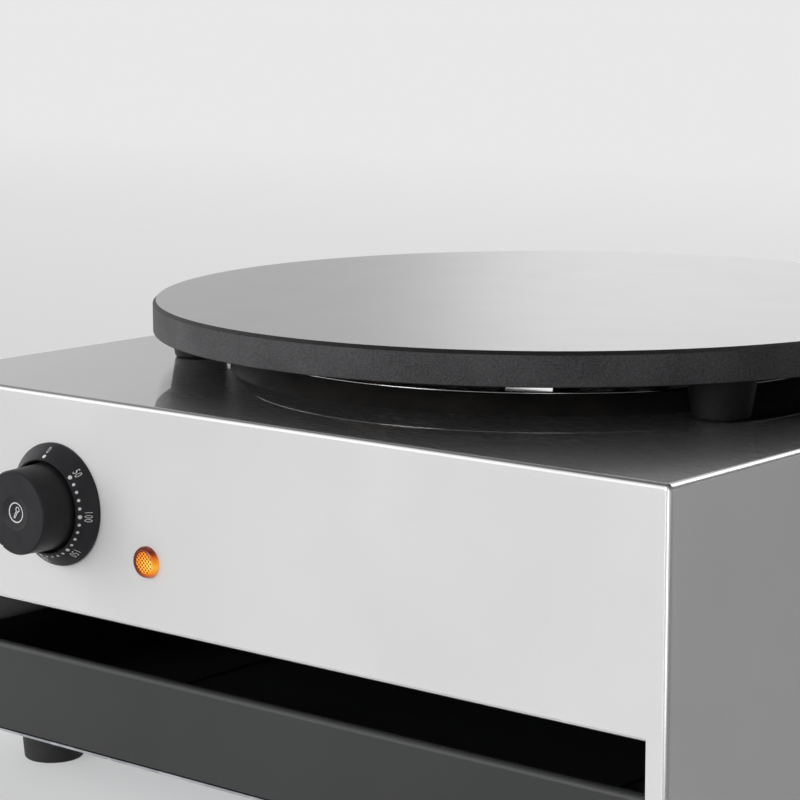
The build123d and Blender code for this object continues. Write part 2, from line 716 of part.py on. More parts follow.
with BuildPart() as heat_shield_ring:
    with BuildSketch(Plane.XZ):
        with BuildLine():
            Polyline(
                (ring_foot_radius, top_z),
                (ring_top_radius, top_z + ring_height - ring_bead_radius),
                (ring_top_radius - ring_wall, top_z + ring_height - ring_bead_radius),
                (ring_foot_radius - ring_wall, top_z + ring_wall),
                (ring_foot_radius - ring_flange, top_z + ring_wall),
                (ring_foot_radius - ring_flange, top_z),
                close=True,
            )
        make_face()
        with Locations((ring_top_radius - ring_wall / 2, top_z + ring_height - ring_bead_radius)):
            Circle(ring_bead_radius)
    revolve(axis=Axis.Z)
pieces["heat_shield_ring"] = heat_shield_ring

# the sensor bulb lies against the plate; its capillary goes down through the top sheet
bulb_z = plate_under - bulb_radius - gap / 2
capillary_end_z = top_z - knob_drop
thermostat_back_y = -half_depth + sheet + thermostat_depth
with BuildPart() as thermostat_sensor:
    with BuildSketch(Plane.YZ.offset(capillary_x)):
        with Locations((-bulb_ring, bulb_z)):
            Circle(bulb_radius)
    extrude(amount=bulb_length)
    with BuildLine() as capillary_path:
        FilletPolyline(
            (capillary_x + capillary_bend, -bulb_ring, bulb_z),
            (capillary_x - capillary_bend, -bulb_ring, bulb_z),
            (capillary_x - capillary_bend, -bulb_ring, capillary_end_z + 2 * capillary_bend),
            (knob_x, -bulb_ring, capillary_end_z),
            (knob_x, thermostat_back_y, capillary_end_z),
            radius=capillary_bend,
        )
    capillary_wire = capillary_path.wires()[0]
    with BuildSketch(Plane(origin=capillary_wire @ 0, z_dir=capillary_wire % 0)):
        Circle(capillary_radius)
    sweep(path=capillary_wire)
pieces["thermostat_sensor"] = thermostat_sensor

# ---------------------------------------------------------------- insulation under the top sheet
with BuildPart() as insulation_pad:
    with BuildSketch(Plane.XY.offset(sheet_under)):
        Rectangle(pad_width, pad_depth)
        with Locations(*boss_places):
            Circle(washer_radius + 10 * hole_play, mode=Mode.SUBTRACT)
        with Locations(*leg_places):
            Circle(insulator_radius + 4 * hole_play, mode=Mode.SUBTRACT)
        with Locations(*tray_studs):
            Circle(small_stud_radius + hole_play, mode=Mode.SUBTRACT)
        with Locations((capillary_x - capillary_bend, -bulb_ring)):
            Circle(capillary_radius + 4 * hole_play, mode=Mode.SUBTRACT)
    extrude(amount=-pad_thickness)
pieces["insulation_pad"] = insulation_pad

with BuildPart() as insulation_tray:
    with BuildSketch(Plane.XY.offset(pad_under)):
        Rectangle(pad_width + 2 * tray_thickness, pad_depth + 2 * tray_thickness)
        with Locations(*leg_places):
            Circle(insulator_radius + 4 * hole_play, mode=Mode.SUBTRACT)
        with Locations(*boss_places):
            Circle(washer_radius + 10 * hole_play, mode=Mode.SUBTRACT)
        with Locations(*tray_studs):
            Circle(small_stud_radius + hole_play, mode=Mode.SUBTRACT)
        with Locations((capillary_x - capillary_bend, -bulb_ring)):
            Circle(capillary_radius + 4 * hole_play, mode=Mode.SUBTRACT)
    extrude(amount=-tray_thickness)
    with BuildSketch(Plane.XY.offset(pad_under)):
        Rectangle(pad_width + 2 * tray_thickness, pad_depth + 2 * tray_thickness)
        Rectangle(pad_width, pad_depth, mode=Mode.SUBTRACT)
    extrude(amount=tray_lip)
pieces["insulation_tray"] = insulation_tray

with BuildPart() as tray_stud_set:
    with BuildSketch(Plane.XY.offset(sheet_under)):
        with Locations(*tray_studs):
            Circle(small_stud_radius)
    extrude(amount=-pad_thickness - tray_thickness - small_nut_height)
pieces["tray_studs"] = tray_stud_set

with BuildPart() as tray_nuts:
    with BuildSketch(Plane.XY.offset(tray_under)):
        with Locations(*tray_studs):
            RegularPolygon(small_nut_radius, 6)
            Circle(small_stud_radius + thread_play, mode=Mode.SUBTRACT)
    extrude(amount=-small_nut_height)
pieces["tray_nuts"] = tray_nuts

# ---------------------------------------------------------------- thermostat, dial and knob
with BuildPart() as thermostat_body:
    with BuildSketch(dial_plane.offset(-sheet)):
        Rectangle(thermostat_width, thermostat_height)
    extrude(amount=-thermostat_depth)
    fillet(thermostat_body.edges().filter_by(Axis.Y), 2 * sheet)
    with BuildSketch(dial_plane.offset(-sheet)):
        Circle(bush_radius)
    extrude(amount=sheet + bush_reach)
    with BuildSketch(dial_plane.offset(bush_reach)):
        Circle(shaft_radius + running_play)
    extrude(amount=-bush_reach - sheet - bush_depth, mode=Mode.SUBTRACT)
    with BuildSketch(dial_plane.offset(-sheet)):
        with Locations(*thermostat_screw_places):
            Circle(screw_radius + thread_play)
    extrude(amount=-3 * screw_radius, mode=Mode.SUBTRACT)
pieces["thermostat_body"] = thermostat_body

with BuildPart() as thermostat_screws:
    with BuildSketch(dial_plane.offset(bezel_floor)):
        with Locations(*thermostat_screw_places):
            Circle(screw_head_radius)
    extrude(amount=screw_head_height)
    with BuildSketch(dial_plane.offset(bezel_floor)):
        with Locations(*thermostat_screw_places):
            Circle(screw_radius)
    extrude(amount=-bezel_floor - sheet - 2.5 * screw_radius)
pieces["thermostat_screws"] = thermostat_screws

with BuildPart() as dial_bezel:
    with BuildSketch(dial_side):
        with BuildLine():
            Polyline(
                (bush_radius + hole_play, 0),
                (bezel_radius, 0),
                (bezel_radius, bezel_rim),
                (bezel_well_radius + bezel_crest, bezel_height),
                (bezel_well_radius, bezel_height),
                (bezel_well_radius, bezel_floor),
                (bush_radius + hole_play, bezel_floor),
                close=True,
            )
        make_face()
    revolve(axis=dial_axis)
    with BuildSketch(dial_plane):
        with Locations(*thermostat_screw_places):
            Circle(screw_radius + hole_play)
    extrude(amount=bezel_floor, mode=Mode.SUBTRACT)
pieces["dial_bezel"] = dial_bezel

shaft_end = shaft_length - bush_depth
with BuildPart() as thermostat_shaft:
    with BuildSketch(dial_plane.offset(shaft_end)):
        Circle(shaft_radius)
    extrude(amount=-shaft_length)
    with BuildSketch(knob_plane.offset(shaft_end)):
        with Locations((0, -shaft_flat - shaft_radius)):
            Rectangle(3 * shaft_radius, 2 * shaft_radius)
    extrude(amount=-shaft_flat_length, mode=Mode.SUBTRACT)
pieces["thermostat_shaft"] = thermostat_shaft

with BuildPart() as knob:
    knob_roof = knob_reach - knob_dimple_depth - knob_wall
    with BuildSketch(dial_side):
        with BuildLine():
            Polyline(
                (knob_base_radius - knob_wall, knob_base_gap),
                (knob_base_radius, knob_base_gap),
                (knob_face_radius, knob_reach - knob_edge_bevel),
                (knob_face_radius - knob_edge_bevel, knob_reach),
                (knob_dimple_radius, knob_reach),
            )
            dimple_low = (0, knob_reach - knob_dimple_depth)
            TangentArc(dimple_low, (knob_dimple_radius, knob_reach), tangent=(1, 0))
            Polyline(
                dimple_low,
                (0, shaft_end + gap),
                (shaft_radius + running_play, shaft_end + gap),
                (shaft_radius + running_play, bush_reach + gap),
                (knob_hub_radius, bush_reach + gap),
                (knob_hub_radius, knob_roof),
                (knob_face_radius - knob_wall, knob_roof),
                (knob_base_radius - knob_wall, knob_base_gap),
            )
        make_face()
    revolve(axis=dial_axis)
    # the notch that holds the pointer's inlay, in the side of the knob at its face
    with BuildSketch(knob_plane.offset(knob_reach)):
        with Locations((0, knob_base_radius)):
            Rectangle(pointer_width, 2 * (knob_base_radius - knob_face_radius + pointer_depth))
    extrude(amount=-pointer_length, mode=Mode.SUBTRACT)
pieces["knob"] = knob

with BuildPart() as knob_pointer:
    with BuildSketch(knob_plane.offset(knob_reach - knob_edge_bevel / 2)):
        with Locations((0, knob_face_radius - knob_edge_bevel / 2)):
            Rectangle(pointer_width, knob_edge_bevel)
        with Locations((0, knob_face_radius - (pointer_depth + knob_edge_bevel) / 2)):
            Rectangle(pointer_width, pointer_depth - knob_edge_bevel)
    extrude(amount=-pointer_length + knob_edge_bevel / 2)
pieces["knob_pointer"] = knob_pointer

with BuildPart() as knob_clip:
    clip_thickness = shaft_radius - shaft_flat - gap
    with BuildSketch(knob_plane.offset(shaft_end)):
        with Locations((0, -shaft_flat - clip_thickness / 2)):
            Rectangle(clip_width, clip_thickness)
        Circle(shaft_radius, mode=Mode.INTERSECT)
    extrude(amount=-clip_length)
pieces["knob_clip"] = knob_clip

# ---------------------------------------------------------------- pilot lamp
with BuildPart() as pilot_lamp_lens:
    with BuildSketch(lamp_side):
        with BuildLine():
            shoulder_r = lens_radius - lens_face_radius
            shoulder_h = lens_height - lens_rim
            Polyline((0, lens_height), (0, 0), (lens_radius, 0), (lens_radius, lens_rim))
            ThreePointArc(
                (lens_radius, lens_rim),
                (
                    lens_face_radius + shoulder_r * math.cos(math.pi / 4),
                    lens_rim + shoulder_h * math.sin(math.pi / 4),
                ),
                (lens_face_radius, lens_height),
            )
            Line((lens_face_radius, lens_height), (0, lens_height))
        make_face()
    revolve(axis=lamp_axis)
pieces["pilot_lamp_lens"] = pilot_lamp_lens

with BuildPart() as pilot_lamp_body:
    with BuildSketch(lamp_plane):
        Circle(lamp_body_radius)
    extrude(amount=-lamp_body_length)
    with BuildSketch(lamp_plane.offset(-lamp_body_length)):
        with GridLocations(tab_spacing, 1, 2, 1):
            Rectangle(tab_thickness, tab_width)
    extrude(amount=-tab_length)
pieces["pilot_lamp_body"] = pilot_lamp_body

with BuildPart() as pilot_lamp_nut:
    with BuildSketch(lamp_plane.offset(-sheet)):
        RegularPolygon(lamp_nut_radius, 6)
        Circle(lamp_body_radius + thread_play, mode=Mode.SUBTRACT)
    extrude(amount=-lamp_nut_height)
pieces["pilot_lamp_nut"] = pilot_lamp_nut

# ---------------------------------------------------------------- mains inlet at the back
with BuildPart() as cable_gland_body:
    with BuildSketch(gland_plane.offset(rear_sheet)):
        RegularPolygon(gland_hex_radius, 6)
    extrude(amount=gland_hex_height)
    with BuildSketch(gland_plane.offset(rear_sheet)):
        Circle(gland_thread_radius)
    extrude(amount=-rear_sheet - sheet - gland_nut_height - gap)
    with BuildSketch(gland_plane.offset(rear_sheet + gland_hex_height)):
        Circle(gland_bore_radius + ring_wall)
    extrude(amount=-gland_hex_height - 2 * rear_sheet - sheet - gland_nut_height, mode=Mode.SUBTRACT)
pieces["cable_gland_body"] = cable_gland_body

cap_start = rear_sheet + gland_hex_height
with BuildPart() as cable_gland_cap:
    with BuildSketch(gland_side):
        with BuildLine():
            dome_start = gland_reach - gland_cap_radius / 2
            mouth_radius = gland_bore_radius + ring_wall
            Polyline(
                (mouth_radius, gland_reach),
                (mouth_radius, gland_reach - gland_cap_radius / 4),
                (gland_thread_radius, dome_start),
                (gland_thread_radius, cap_start),
                (gland_cap_radius, cap_start),
                (gland_cap_radius, dome_start),
            )
            ThreePointArc(
                (gland_cap_radius, dome_start),
                (
                    mouth_radius + (gland_cap_radius - mouth_radius) * math.cos(math.pi / 4),
                    dome_start + (gland_reach - dome_start) * math.sin(math.pi / 4),
                ),
                (mouth_radius, gland_reach),
            )
        make_face()
    revolve(axis=gland_axis)
pieces["cable_gland_cap"] = cable_gland_cap

with BuildPart() as cable_gland_seal:
    with BuildSketch(gland_plane.offset(cap_start)):
        Circle(gland_thread_radius - gap)
        Circle(gland_bore_radius, mode=Mode.SUBTRACT)
    extrude(amount=gland_seal_length)
pieces["cable_gland_seal"] = cable_gland_seal

with BuildPart() as cable_gland_nut:
    with BuildSketch(gland_plane):
        RegularPolygon(gland_hex_radius, 6)
        Circle(gland_thread_radius + thread_play, mode=Mode.SUBTRACT)
    extrude(amount=-gland_nut_height)
pieces["cable_gland_nut"] = cable_gland_nut

# ---------------------------------------------------------------- terminal block and earth
pole_step = block_width / block_poles
block_poles_x = [block_x + (i - (block_poles - 1) / 2) * pole_step for i in range(block_poles)]
block_screw_places = [
    (x, block_y + end * block_depth / 4) for x in block_poles_x for end in (-1, 1)
]
with BuildPart() as terminal_block:
    with Locations((block_x, block_y, divider_top + block_height / 2)):
        Box(block_width, block_depth, block_height)
    with BuildSketch(Plane.XY.offset(divider_top + block_height)):
        with Locations(*block_screw_places):
            Circle(block_screw_radius + hole_play)
    extrude(amount=-2 * block_screw_height, mode=Mode.SUBTRACT)
pieces["terminal_block"] = terminal_block

with BuildPart() as terminal_screws:
    with BuildSketch(Plane.XY.offset(divider_top + block_height - 2 * block_screw_height)):
        with Locations(*block_screw_places):
            Circle(block_screw_radius)
    extrude(amount=block_screw_height)
pieces["terminal_screws"] = terminal_screws

with BuildPart() as earth_stud:
    with BuildSketch(Plane.XY.offset(divider_z)):
        with Locations((earth_x, earth_y)):
            Circle(small_stud_radius)
    extrude(amount=earth_stud_height)
    with BuildSketch(Plane.XY.offset(divider_z)):
        with Locations((earth_x, earth_y)):
            Circle(small_nut_radius)
    extrude(amount=-screw_head_height)
pieces["earth_stud"] = earth_stud

with BuildPart() as earth_nuts:
    for low in (divider_top, divider_top + 2 * small_nut_height):
        with BuildSketch(Plane.XY.offset(low)):
            with Locations((earth_x, earth_y)):
                RegularPolygon(small_nut_radius, 6)
                Circle(small_stud_radius + thread_play, mode=Mode.SUBTRACT)
        extrude(amount=small_nut_height)
pieces["earth_nuts"] = earth_nuts

# ---------------------------------------------------------------- internal wires
wire_z = divider_top + block_height / 2
outer_leg = element_legs[outer_element_ring]
inner_leg = element_legs[inner_element_ring]
pin_end_z = pin_z - pin_length
wire_front_y = block_y - block_depth / 2
thermostat_low_z = knob_z - wire_spread
thermostat_high_z = knob_z + wire_spread
wire_routes = {
    "wire_live": [
        (block_poles_x[1], wire_front_y, wire_z),
        (block_poles_x[1], wire_front_y - 2 * wire_straight, wire_z),
        (knob_x + wire_spread, thermostat_back_y + 2 * wire_straight, wire_z),
        (knob_x + wire_spread, thermostat_back_y + wire_straight, thermostat_low_z),
        (knob_x + wire_spread, thermostat_back_y, thermostat_low_z),
    ],
    "wire_neutral": [
        (block_poles_x[0], wire_front_y, wire_z),
        (block_poles_x[0], wire_front_y - wire_straight, wire_z),
        (inner_leg[1], inner_leg[2], wire_z),
        (inner_leg[1], inner_leg[2], pin_end_z),
    ],
    "wire_heater": [
        (knob_x - wire_spread, thermostat_back_y, thermostat_low_z),
        (knob_x - wire_spread, thermostat_back_y + wire_straight, thermostat_low_z),
        (-outer_leg[1] - wire_straight, outer_leg[2] - wire_straight, wire_z + wire_lift),
        (-outer_leg[1], outer_leg[2], wire_z + wire_lift),
        (-outer_leg[1], outer_leg[2], pin_end_z),
    ],
    "wire_lamp": [
        (knob_x + wire_spread, thermostat_back_y, thermostat_high_z),
        (knob_x + wire_spread, thermostat_back_y + wire_straight, thermostat_high_z),
        (lamp_x, thermostat_back_y + wire_straight, lamp_z),
        (lamp_x, -half_depth + lamp_body_length + gap, lamp_z),
    ],
    "wire_earth": [
        (block_poles_x[2], wire_front_y, wire_z),
        (block_poles_x[2], wire_front_y - 1.5 * wire_straight, wire_z),
        (earth_x - small_nut_radius - wire_radius, earth_y, wire_z),
    ],
}
link_low = pin_end_z - link_drop
wire_routes["wire_link"] = [
    (outer_leg[1], outer_leg[2], pin_end_z),
    (outer_leg[1], outer_leg[2], link_low),
    (-inner_leg[1], inner_leg[2], link_low),
    (-inner_leg[1], inner_leg[2], pin_end_z),
]
for name, points in wire_routes.items():
    with BuildPart() as wire:
        with BuildLine() as wire_path:
            FilletPolyline(*points, radius=wire_bend)
        strand = wire_path.wires()[0]
        with BuildSketch(Plane(origin=strand @ 0, z_dir=strand % 0)):
            Circle(wire_radius)
        sweep(path=strand)
    pieces[name] = wire

# ---------------------------------------------------------------- drawer
drawer_inner_half = drawer_half_width - drawer_sheet
tray_middle_y = (tray_front_y + tray_back_y) / 2
with BuildPart() as drawer_inside:
    with Locations((0, tray_middle_y, drawer_floor_top + drawer_wall_height)):
        Box(2 * drawer_inner_half, drawer_length - 2 * drawer_sheet, 2 * drawer_wall_height)
    floor_edges = drawer_inside.edges().group_by(Axis.Z)[0]
    fillet(floor_edges, drawer_floor_bend)

# rivets pass through the tray's front wall into the drawer front
rivet_z = drawer_floor_top + drawer_wall_height / 2
rivet_step = 0.8 * drawer_inner_half
rivet_plane = Plane(
    origin=(0, tray_front_y + drawer_sheet, rivet_z), x_dir=(-1, 0, 0), z_dir=(0, 1, 0)
)
with BuildPart() as rivet_holes:
    with BuildSketch(rivet_plane):
        with GridLocations(rivet_step, 1, 3, 1):
            Circle(rivet_radius + thread_play)
    extrude(amount=-drawer_sheet - drawer_front_thickness / 2 - gap)

with BuildPart() as drawer_tray:
    with Locations((0, tray_middle_y, drawer_under + drawer_wall_height / 2)):
        Box(2 * drawer_half_width, drawer_length, drawer_wall_height)
    tray_floor_edges = drawer_tray.edges().group_by(Axis.Z)[0]
    fillet(tray_floor_edges, drawer_floor_bend + drawer_sheet)
    back_middle_z = drawer_under + (drawer_wall_height + drawer_back_height) / 2
    with Locations((0, tray_back_y - drawer_sheet / 2, back_middle_z)):
        Box(2 * drawer_half_width, drawer_sheet, drawer_back_height - drawer_wall_height)
    add(drawer_inside.part, mode=Mode.SUBTRACT)
    bead_length = drawer_length - 8 * drawer_floor_bend
    bead_z = drawer_floor_top + drawer_bead_height / 2
    with Locations(*[(side * drawer_bead_x, tray_middle_y, bead_z) for side in (-1, 1)]):
        Box(drawer_bead_width, bead_length, drawer_bead_height)
    add(rivet_holes.part, mode=Mode.SUBTRACT)
pieces["drawer_tray"] = drawer_tray

drawer_front_low = drawer_front_top - drawer_front_height
with BuildPart() as drawer_front:
    front_half_width = opening_half_width - drawer_front_gap
    front_middle = (
        0, -half_depth + drawer_front_thickness / 2, drawer_front_low + drawer_front_height / 2
    )
    with Locations(front_middle):
        Box(2 * front_half_width, drawer_front_thickness, drawer_front_height)
    top_edges = drawer_front.edges().filter_by(Axis.X).group_by(Axis.Z)[-1]
    fillet(top_edges, 0.48 * drawer_front_thickness)
    add(rivet_holes.part, mode=Mode.SUBTRACT)
pieces["drawer_front"] = drawer_front

with BuildPart() as drawer_rivets:
    with BuildSketch(rivet_plane):
        with GridLocations(rivet_step, 1, 3, 1):
            Circle(rivet_head_radius)
    extrude(amount=rivet_head_height)
    fillet(drawer_rivets.faces().sort_by(Axis.Y)[-3:].edges(), 0.6 * rivet_head_height)
    with BuildSketch(rivet_plane):
        with GridLocations(rivet_step, 1, 3, 1):
            Circle(rivet_radius)
    extrude(amount=-drawer_sheet - drawer_front_thickness / 2)
pieces["drawer_rivets"] = drawer_rivets

# ---------------------------------------------------------------- write
for name, piece in pieces.items():
    piece.part.label = name
    export_step(piece.part, f"parts/{name}.step")
print(len(pieces), "pieces, plate top at", plate_top)
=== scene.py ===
import json
import math

import bmesh
import bpy
from mathutils import Matrix, Vector


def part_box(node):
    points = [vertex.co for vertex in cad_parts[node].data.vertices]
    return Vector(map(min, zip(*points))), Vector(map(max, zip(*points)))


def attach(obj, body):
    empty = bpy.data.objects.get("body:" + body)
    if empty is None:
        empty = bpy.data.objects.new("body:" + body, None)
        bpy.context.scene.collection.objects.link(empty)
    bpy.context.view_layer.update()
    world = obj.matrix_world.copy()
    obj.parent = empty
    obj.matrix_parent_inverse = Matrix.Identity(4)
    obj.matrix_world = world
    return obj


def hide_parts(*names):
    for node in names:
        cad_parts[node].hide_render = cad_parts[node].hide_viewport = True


# The looks of an electric crepe maker: a satin stainless housing, a cast-iron plate, a black dial and
# knob with white printing, a lit amber lamp and a dark powder-coated drawer. Metres, in the row's frame.

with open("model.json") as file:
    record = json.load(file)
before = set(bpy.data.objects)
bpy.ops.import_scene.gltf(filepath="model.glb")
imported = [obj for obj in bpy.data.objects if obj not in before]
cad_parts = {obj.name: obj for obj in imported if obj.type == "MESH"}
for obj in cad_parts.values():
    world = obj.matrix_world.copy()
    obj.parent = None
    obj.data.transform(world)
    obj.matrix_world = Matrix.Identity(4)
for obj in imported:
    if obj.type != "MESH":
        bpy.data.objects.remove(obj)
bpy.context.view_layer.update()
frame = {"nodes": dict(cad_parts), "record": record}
nodes = frame["nodes"]

MM = 0.001

# ---------------------------------------------------------------- finishes and light
SATIN_METALLIC = 0.25  # how much of the satin panels' light is mirrored, and not spread evenly
OIL_FILM = 0.8  # the wiped film on the top sheet and the bends
SCRATCH_SPACING = 0.15 * MM
SCRATCH_STRETCH = 60  # how many times longer than wide a scratch is
FACES_AXIS = 0.7  # the least share of a normal along an axis that it faces
FLAT_PANEL = 0.995  # the least share along some axis on a panel, away from its bends
SPANGLE = 9.09 * MM
LAY_PITCH = 0.4488 * MM
STRIPE_PITCH = 10.47 * MM
WAVE_RATE = 20  # radians per unit of length of a wave texture at scale 1, and half that on the diagonal
ROOM_MIDDLE = 0.55
ROOM_SLOPE = 0.75
ROOM_LEAST = 0.16
ZENITH_SHARE = 0.25
FLOOR_LIFT = 0.43
REAR_WINDOW = 0.6
FRONT_WINDOW = 0.98
LOW_REAR_WINDOW = 0.42
NEAR_WINDOW = 0.15
LEFT_WINDOW = 0.6
CARD_NEAR = 0.24
CARD_FAR = 0.14
WHITE_CARD = 1.8

# ---------------------------------------------------------------- the dial's places, as the solids have them
DIAL_X = -123.8 * MM
DIAL_Z = 146.3 * MM
PANEL_Y = -225.0 * MM
DIAL_CREST_RADIUS = 23.2 * MM
DIAL_RIM_RADIUS = 29.8 * MM
DIAL_CREST_HEIGHT = 9.2 * MM
DIAL_RIM_HEIGHT = 1.5 * MM
KNOB_REACH = 27.0 * MM
DIMPLE_RADIUS = 8.6 * MM
DIMPLE_DEPTH = 1.2 * MM
KNOB_REST_ANGLE = 209.0
LAMP_X = -63.2 * MM
LAMP_Z = 126.7 * MM
GRID_PITCH = 1.5 * MM
PLATE_TOP = 235.0 * MM
PLATE_CHAMFER = 1.7 * MM
PLATE_UNDER = 219.0 * MM
SURFACE_MARGIN = 0.1 * MM  # keeps a height mask clear of the face it starts at
RING_RIM = 1.2 * MM
RING_RIM_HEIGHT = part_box("heat_shield_ring")[1].z - RING_RIM
PRINT_THICKNESS = 0.05 * MM
PRINT_SINK = 0.02 * MM

# ---------------------------------------------------------------- colours and nodes


def hex_colour(code):
    """An sRGB hex value as a linear colour."""
    channels = [int(code[i : i + 2], 16) / 255 for i in (0, 2, 4)]
    linear = [c / 12.92 if c <= 0.04045 else ((c + 0.055) / 1.055) ** 2.4 for c in channels]
    return (*linear, 1.0)


def add_node(material, kind, inputs=None, stops=(), **settings):
    """Adds a node with its settings. Each input is given a value, or is linked from another node's output,
    and a colour ramp is given (place, colour) stops. A Mix node's inputs are 0 for its factor, 2 and 3 for
    numbers, 4 and 5 for vectors and 6 and 7 for colours. Its outputs are 0, 1 and 2 in the same order."""
    tree = material.node_tree
    node = tree.nodes.new(kind)
    for name, value in settings.items():
        setattr(node, name, value)
    for name, value in (inputs or {}).items():
        if isinstance(value, bpy.types.NodeSocket):
            tree.links.new(value, node.inputs[name])
        else:
            node.inputs[name].default_value = value
    if stops:
        elements = node.color_ramp.elements
        while len(elements) < len(stops):
            elements.new(0.5)
        for element, (where, colour) in zip(elements, stops):
            element.position = where
            element.color = colour
    return node


def new_material(name):
    """An empty material with its shader and output joined, and the piece's own coordinates."""
    material = bpy.data.materials.new(name)
    material.use_nodes = True
    material.node_tree.nodes.clear()
    shader = add_node(material, "ShaderNodeBsdfPrincipled")
    add_node(material, "ShaderNodeOutputMaterial", {"Surface": shader.outputs["BSDF"]})
    place = add_node(material, "ShaderNodeTexCoord").outputs["Object"]
    return material, shader, place


def grey(value):
    """A neutral colour of a linear brightness, or a plain number on a colour socket."""
    return (value, value, value, 1.0)


def link(material, output, shader, socket):
    """Joins a node's output to the shader's named socket."""
    material.node_tree.links.new(output, shader.inputs[socket])


def unevenness(material, place, size, detail=2.0, rough=0.5, stretch=(1, 1, 1)):
    """A pattern of patches about size metres across, longer along an axis where stretch is above 1."""
    scale = tuple(1 / (size * s) for s in stretch)
    sized = add_node(material, "ShaderNodeMapping", {"Vector": place, "Scale": scale}).outputs["Vector"]
    patches = add_node(
        material,
        "ShaderNodeTexNoise",
        {"Vector": sized, "Scale": 1.0, "Detail": detail, "Roughness": rough},
    )
    return patches.outputs["Fac"]


def tinted(material, pattern, low, high, stops=(0.3, 0.7)):
    """A colour that runs between two sRGB hex values as the pattern rises."""
    tints = [(stops[0], hex_colour(low)), (stops[1], hex_colour(high))]
    return add_node(material, "ShaderNodeValToRGB", {"Fac": pattern}, tints).outputs["Color"]


def graded(material, pattern, low, high, stops=(0.3, 0.7)):
    """A number that runs between two values as the pattern rises."""
    shades = [(stops[0], grey(low)), (stops[1], grey(high))]
    return add_node(material, "ShaderNodeValToRGB", {"Fac": pattern}, shades).outputs["Color"]


# ---------------------------------------------------------------- materials


def satin_stainless():
    """AISI 304 stainless sheet, brushed from side to side. The brushing draws reflections out across its
    lines: a haze on the upright panels, and a milky veil over the top sheet's mirror image. A wiped film of
    oil keeps that image sharp at a flat angle. The bends are rubbed bright. The fine scratches are 0.15 mm
    apart."""
    material, shader, place = new_material("satin_304_stainless_sheet")
    normal = add_node(material, "ShaderNodeNewGeometry").outputs["True Normal"]
    square = add_node(material, "ShaderNodeVectorMath", {0: normal}, operation="ABSOLUTE").outputs[0]
    facing = add_node(material, "ShaderNodeSeparateXYZ", {"Vector": square}).outputs
    flattest = facing["X"]
    for axis in ("Y", "Z"):
        flattest = add_node(
            material, "ShaderNodeMath", {0: flattest, 1: facing[axis]}, operation="MAXIMUM"
        ).outputs[0]
    is_side, is_level, is_panel = [
        add_node(material, "ShaderNodeMath", {0: share, 1: least}, operation="GREATER_THAN").outputs[0]
        for share, least in ((facing["X"], FACES_AXIS), (facing["Z"], FACES_AXIS), (flattest, FLAT_PANEL))
    ]
    across = add_node(
        material,
        "ShaderNodeMix",
        {0: is_level, 4: (0.0, 0.0, 1.0), 5: (0.0, 1.0, 0.0)},
        data_type="VECTOR",
    ).outputs[1]
    link(material, across, shader, "Tangent")
    shader.inputs["Anisotropic"].default_value = 1.0
    shader.inputs["Coat Roughness"].default_value = 0.03
    along_x = unevenness(material, place, SCRATCH_SPACING, 2, 0.6, (SCRATCH_STRETCH, 1, 1))
    along_y = unevenness(material, place, SCRATCH_SPACING, 2, 0.6, (1, SCRATCH_STRETCH, 1))
    scratches = add_node(material, "ShaderNodeMix", {0: is_side, 2: along_x, 3: along_y}).outputs[0]
    cloud = unevenness(material, place, 90 * MM, 2, 0.5)
    # painted shade: the level top faces are painted darker than the upright panels of the same sheet
    upright_sheet = tinted(material, cloud, "EEEEEE", "F4F4F4")
    top_sheet_painted_darker = tinted(material, cloud, "999999", "A1A1A1")
    colour = add_node(
        material, "ShaderNodeMix", {0: is_level, 6: upright_sheet, 7: top_sheet_painted_darker}, data_type="RGBA"
    )
    link(material, colour.outputs[2], shader, "Base Color")
    worn = (0.35, 0.65)
    satin = graded(material, scratches, 0.56, 0.66, worn)
    veiled = graded(material, scratches, 0.22, 0.28, worn)
    rubbed = graded(material, scratches, 0.14, 0.20, worn)
    # what the bends, the upright panels and the top sheet each have
    finishes = {
        "Roughness": (rubbed, satin, veiled),
        "Coat Weight": (OIL_FILM, 0.0, OIL_FILM),
        "Metallic": (1.0, SATIN_METALLIC, 1.0),
    }
    for socket, (bend, upright, top) in finishes.items():
        panel = add_node(material, "ShaderNodeMix", {0: is_level, 2: upright, 3: top}).outputs[0]
        sheet = add_node(material, "ShaderNodeMix", {0: is_panel, 2: bend, 3: panel}).outputs[0]
        link(material, sheet, shader, socket)
    return material


def galvanised_steel():
    """Hot-dip galvanised sheet: a dull blue-grey zinc skin with faint spangles about 9 mm across."""
    material, shader, place = new_material("galvanised_steel_sheet")
    shader.inputs["Metallic"].default_value = 1.0
    spangle = add_node(
        material, "ShaderNodeTexVoronoi", {"Vector": place, "Scale": 1 / SPANGLE}
    ).outputs["Color"]
    brightness = add_node(material, "ShaderNodeRGBToBW", {"Color": spangle}).outputs["Val"]
    link(material, tinted(material, brightness, "A4A8AC", "BCBFC2", (0.1, 0.9)), shader, "Base Color")
    link(material, graded(material, brightness, 0.38, 0.52, (0.1, 0.9)), shader, "Roughness")
    return material


def polished_stainless():
    """Bright-rolled stainless strip: nearly a mirror, with a slight waviness from rolling."""
    material, shader, place = new_material("polished_stainless_strip")
    shader.inputs["Metallic"].default_value = 1.0
    shader.inputs["Base Color"].default_value = hex_colour("DADADB")
    rolled = unevenness(material, place, 14 * MM, 1, 0.5, (3, 3, 1))
    link(material, graded(material, rolled, 0.07, 0.12), shader, "Roughness")
    waves = add_node(material, "ShaderNodeBump", {"Height": rolled, "Distance": 0.02 * MM, "Strength": 0.4})
    link(material, waves.outputs["Normal"], shader, "Normal")
    return material


